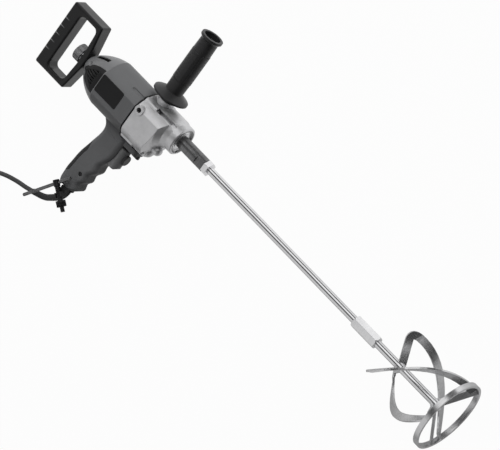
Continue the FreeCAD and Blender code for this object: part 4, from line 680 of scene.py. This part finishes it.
def openMesh(obj):
    bpy.context.view_layer.objects.active = obj
    obj.select_set(True)
    bpy.ops.object.mode_set(mode="EDIT")


def closeMesh():
    bpy.ops.object.mode_set(mode="OBJECT")


def pickFaces(obj, test):
    bpy.ops.mesh.select_mode(type="FACE")
    bpy.ops.mesh.select_all(action="DESELECT")
    bpy.ops.object.mode_set(mode="OBJECT")
    for face in obj.data.polygons:
        face.select = test(face)
    bpy.ops.object.mode_set(mode="EDIT")


def pickEdges(obj, test):
    bpy.ops.mesh.select_mode(type="EDGE")
    bpy.ops.mesh.select_all(action="DESELECT")
    bpy.ops.object.mode_set(mode="OBJECT")
    for edge in obj.data.edges:
        first, second = (obj.data.vertices[i].co for i in edge.vertices)
        edge.select = test(first, second)
    bpy.ops.object.mode_set(mode="EDIT")


def runsAlong(axis, first, second):
    return all(abs(first[i] - second[i]) < hair for i in range(3) if i != axis)


def thicken(obj, thick, side):
    # side is 1 for a wall that grows outward and -1 for inward
    wall = obj.modifiers.new("wall", "SOLIDIFY")
    wall.thickness = thick
    wall.offset = side
    bpy.ops.object.modifier_apply(modifier=wall.name)


def roundEdges(obj, width, fromAngle):
    rounded = obj.modifiers.new("roundedEdges", "BEVEL")
    rounded.width = width
    rounded.segments = edgeSteps
    rounded.limit_method = "ANGLE"
    rounded.angle_limit = math.radians(fromAngle)
    bpy.ops.object.modifier_apply(modifier=rounded.name)


def settle(obj, spot, turn, body, finish):
    # the place goes into the mesh, so the object itself stays at the origin
    obj.data.transform(Matrix.Translation(spot) @ turn.to_4x4())
    obj.data.update()
    obj.matrix_world = Matrix.Identity(4)
    obj.data.materials.clear()
    obj.data.materials.append(finishes[finish])
    bpy.ops.object.select_all(action="DESELECT")
    obj.select_set(True)
    bpy.context.view_layer.objects.active = obj
    bpy.ops.object.shade_smooth_by_angle(angle=math.radians(smoothAngle))
    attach(obj, body)
    obj.select_set(False)
    return obj


# bare dark plate on the right flat of the barrel
plate = {"length": 46.5, "height": 29.5, "thick": 0.9, "corner": 2.8, "cornerSteps": 6,
         "margin": 0.25, "rim": 0.9, "slope": 0.2, "sunk": 0.25, "edgeRound": 0.12, "outline": 0.4999,
         "spot": (-127.0, -12.5, 36.0)}


def makePlate(plan):
    length = plan["length"] / perMetre
    height = plan["height"] / perMetre
    obj = startBox("barrelPlate", (length, height, plan["thick"] / perMetre))

    def onOutline(point):
        return max(abs(point.x) / length, abs(point.y) / height) > plan["outline"]

    def onTopEdge(first, second):
        level = first.z > 0 and abs(first.z - second.z) < hair
        return level and (onOutline(first) or onOutline(second))

    openMesh(obj)
    pickEdges(obj, lambda first, second: runsAlong(2, first, second))
    bpy.ops.mesh.bevel(offset=plan["corner"] / perMetre, segments=plan["cornerSteps"], affect="EDGES")
    pickFaces(obj, lambda face: face.normal.z > facing)
    bpy.ops.mesh.inset(thickness=plan["margin"] / perMetre, depth=0.0)
    bpy.ops.mesh.inset(thickness=plan["rim"] / perMetre, depth=0.0)
    bpy.ops.mesh.inset(thickness=plan["slope"] / perMetre, depth=-plan["sunk"] / perMetre)
    pickEdges(obj, onTopEdge)
    bpy.ops.mesh.bevel(offset=plan["edgeRound"] / perMetre, segments=edgeSteps, affect="EDGES")
    closeMesh()
    return settle(obj, onTool(*plan["spot"]), lieTurn, "drill", "blackPlastic")


makePlate(plate)
print("plate made")


# raised pads round the grip of the side handle, with cross notches for the fingers
sleevePads = {"axis": (-60.0, 0.0), "low": 68.0, "high": 121.0, "radius": 15.35, "thick": 0.9, "sides": 90,
              "arc": 100.0, "middles": (-25.0, 95.0, 215.0), "notches": 7, "notchArc": 26.0, "notchWide": 2.4,
              "notchDeep": 0.35, "notchSlope": 0.2, "edgeRound": 0.22, "roundFrom": 50}


def makeSleevePad(plan, number, middle):
    length = (plan["high"] - plan["low"]) / perMetre
    radius = plan["radius"] / perMetre
    thick = plan["thick"] / perMetre
    half = plan["notchWide"] / 2 / perMetre
    pitch = length / (plan["notches"] + 1)
    bpy.ops.object.select_all(action="DESELECT")
    bpy.ops.mesh.primitive_cylinder_add(vertices=plan["sides"], radius=radius, depth=length)
    obj = bpy.context.object
    obj.name = "sleevePad%d" % number

    def fromMiddle(point):
        return abs(math.degrees(math.atan2(point.y, point.x)))

    def facesEnd(face):
        return abs(face.normal.z) > facing

    def inNotch(face):
        outside = math.hypot(face.center.x, face.center.y) >= radius - thick / 2
        step = (face.center.z + length / 2) / pitch
        across = abs(step - round(step)) * pitch < half
        return outside and not facesEnd(face) and across and fromMiddle(face.center) < plan["notchArc"] / 2

    openMesh(obj)
    pickFaces(obj, lambda face: facesEnd(face) or fromMiddle(face.center) > plan["arc"] / 2)
    bpy.ops.mesh.delete(type="FACE")
    for i in range(plan["notches"]):
        for side in (-half, half):
            height = -length / 2 + (i + 1) * pitch + side
            bpy.ops.mesh.select_all(action="SELECT")
            bpy.ops.mesh.bisect(plane_co=(0, 0, height), plane_no=(0, 0, 1))
    closeMesh()
    thicken(obj, thick, -1)
    openMesh(obj)
    pickFaces(obj, inNotch)
    bpy.ops.mesh.inset(thickness=plan["notchSlope"] / perMetre, depth=-plan["notchDeep"] / perMetre)
    closeMesh()
    roundEdges(obj, plan["edgeRound"] / perMetre, plan["roundFrom"])
    # the pad's own axis goes along the handle, and its middle from straight up towards the paddle
    alongHandle = Matrix.Rotation(math.radians(-90), 3, "X")
    roundHandle = Matrix.Rotation(math.radians(middle - 90), 3, "Y")
    turn = lieTurn @ roundHandle @ alongHandle
    spot = onTool(plan["axis"][0], (plan["low"] + plan["high"]) / 2, plan["axis"][1])
    return settle(obj, spot, turn, "side_handle", "handleBlack")


for number, middle in enumerate(sleevePads["middles"], 1):
    makeSleevePad(sleevePads, number, middle)
print("side handle dressed")


# strap that holds the coil
strap = {"inner": 23.77, "outer": 55.85, "low": 0.0, "high": 17.65, "width": 10.0, "thick": 1.1,
         "corner": 2.8, "cornerSteps": 6, "edgeRound": 0.3, "roundFrom": 30, "angle": -30.0}


def makeStrap(plan):
    wide = (plan["outer"] - plan["inner"]) / perMetre
    tall = (plan["high"] - plan["low"] - 2 * plan["thick"]) / perMetre
    obj = startBox("coilStrap", (wide, plan["width"] / perMetre, tall))
    openMesh(obj)
    pickFaces(obj, lambda face: abs(face.normal.y) > facing)
    bpy.ops.mesh.delete(type="FACE")
    pickEdges(obj, lambda first, second: runsAlong(1, first, second))
    bpy.ops.mesh.bevel(offset=plan["corner"] / perMetre, segments=plan["cornerSteps"], affect="EDGES")
    closeMesh()
    thicken(obj, plan["thick"] / perMetre, 1)
    roundEdges(obj, plan["edgeRound"] / perMetre, plan["roundFrom"])
    angle = math.radians(plan["angle"])
    middle = (plan["inner"] + plan["outer"]) / 2
    x = cordPlan["coilCentre"][0] + middle * math.cos(angle)
    y = cordPlan["coilCentre"][1] + middle * math.sin(angle)
    spot = Vector((x, y, (plan["low"] + plan["high"]) / 2)) / perMetre
    return settle(obj, spot, Matrix.Rotation(angle, 3, "Z"), "drill", "blackRubber")


coilStrap = makeStrap(strap)
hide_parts("cord_tie")
print("coil tied")


# plain floor: white to the camera, and to the metal white with painted shade, darker towards the grip's side
# and the paddle
floorPlan = {"size": 30, "drop": 0.0002, "matt": 0.3, "white": 0.97,
             "lean": 0.5, "span": (-0.2, 0.25), "least": 0.18}


def makeFloor(plan):
    bpy.ops.object.select_all(action="DESELECT")
    bpy.ops.mesh.primitive_plane_add(size=plan["size"])
    floor = bpy.context.object
    floor.name = "studioFloor"
    floor.location.z = -plan["drop"]
    material = bpy.data.materials.new("paleFloor")
    material.use_nodes = True
    tree = material.node_tree
    tree.nodes.clear()
    out = tree.nodes.new("ShaderNodeOutputMaterial")
    mix = tree.nodes.new("ShaderNodeMixShader")
    matt = tree.nodes.new("ShaderNodeBsdfDiffuse")
    matt.inputs["Color"].default_value = (plan["matt"], plan["matt"], plan["matt"], 1)
    glow = tree.nodes.new("ShaderNodeEmission")
    path = tree.nodes.new("ShaderNodeLightPath")
    place = splitPlace(tree, objectPlace(tree))
    # painted shade: the floor the metal mirrors falls from white to a darker grey towards the grip's side and
    # the paddle, standing in for the object's shadow
    across = calculate(tree, "SUBTRACT", place["Y"], calculate(tree, "MULTIPLY", place["X"], plan["lean"]))
    level = spread(tree, across, *plan["span"], plan["least"], 1.0)
    mirroredWithPaintedShade = calculate(tree, "MULTIPLY", path.outputs["Is Glossy Ray"], level)
    seen = calculate(tree, "ADD", path.outputs["Is Camera Ray"], mirroredWithPaintedShade, True)
    tree.links.new(calculate(tree, "MULTIPLY", seen, plan["white"]), mix.inputs["Fac"])
    tree.links.new(matt.outputs["BSDF"], mix.inputs[1])
    tree.links.new(glow.outputs["Emission"], mix.inputs[2])
    tree.links.new(mix.outputs["Shader"], out.inputs["Surface"])
    floor.data.materials.append(material)


makeFloor(floorPlan)


# background: white to the camera, one grey for soft light, and a ramp for what the metal mirrors, which
# goes round from +Y over the top to -Y and fades to dark towards the paddle
sky = {
    "light": 0.22,
    "stops": [(0.0, 0.14), (0.16, 0.14), (0.2, 1.0), (0.36, 1.0), (0.43, 0.08), (0.55, 0.08), (0.6, 0.67),
              (1.0, 0.6)],
    "endSpan": (0.25, 0.55),
    "endLevel": 0.06,
}


def grey(level):
    return (level, level, level)


def makeSky(plan):
    world = bpy.data.worlds.new("studioWorld")
    bpy.context.scene.world = world
    world.use_nodes = True
    tree = world.node_tree
    path = tree.nodes.new("ShaderNodeLightPath")
    way = splitPlace(tree, tree.nodes.new("ShaderNodeTexCoord").outputs["Generated"])
    angle = calculate(tree, "ARCTAN2", way["Z"], way["Y"])
    ramp = tree.nodes.new("ShaderNodeValToRGB")
    tree.links.new(calculate(tree, "DIVIDE", angle, math.pi), ramp.inputs["Fac"])
    while len(ramp.color_ramp.elements) < len(plan["stops"]):
        ramp.color_ramp.elements.new(0.5)
    for element, (place, level) in zip(ramp.color_ramp.elements, plan["stops"]):
        element.position = place
        element.color = (*grey(level), 1)
    ended = spread(tree, way["X"], *plan["endSpan"])
    reflected = blendColour(tree, ended, ramp.outputs["Color"], grey(plan["endLevel"]))
    lit = blendColour(tree, path.outputs["Is Glossy Ray"], grey(plan["light"]), reflected)
    shown = blendColour(tree, path.outputs["Is Camera Ray"], lit, grey(1))
    tree.links.new(shown, tree.nodes["Background"].inputs["Color"])


makeSky(sky)


# lamps, aimed at the origin
lamps = {
    "keyLamp": {"spot": (-0.3, 2.85, 1.25), "size": 2.8, "power": 116.0},
    "fillLamp": {"spot": (-1.2, -2.3, 1.3), "size": 2.4, "power": 10.0},
    "rimLamp": {"spot": (-2.4, 0.6, 1.5), "size": 2.2, "power": 34.0},
}


def makeLamp(name, plan):
    data = bpy.data.lights.new(name, "AREA")
    data.size = plan["size"]
    data.energy = plan["power"]
    obj = bpy.data.objects.new(name, data)
    bpy.context.scene.collection.objects.link(obj)
    obj.location = plan["spot"]
    obj.rotation_mode = "QUATERNION"
    obj.rotation_quaternion = (-Vector(plan["spot"])).to_track_quat("-Z", "Y")
    obj.visible_glossy = False  # the metal mirrors the sky's ramp instead of square lamps


for name, plan in lamps.items():
    makeLamp(name, plan)
bpy.context.scene.view_settings.view_transform = "Standard"
print("stage set")

bpy.context.view_layer.update()
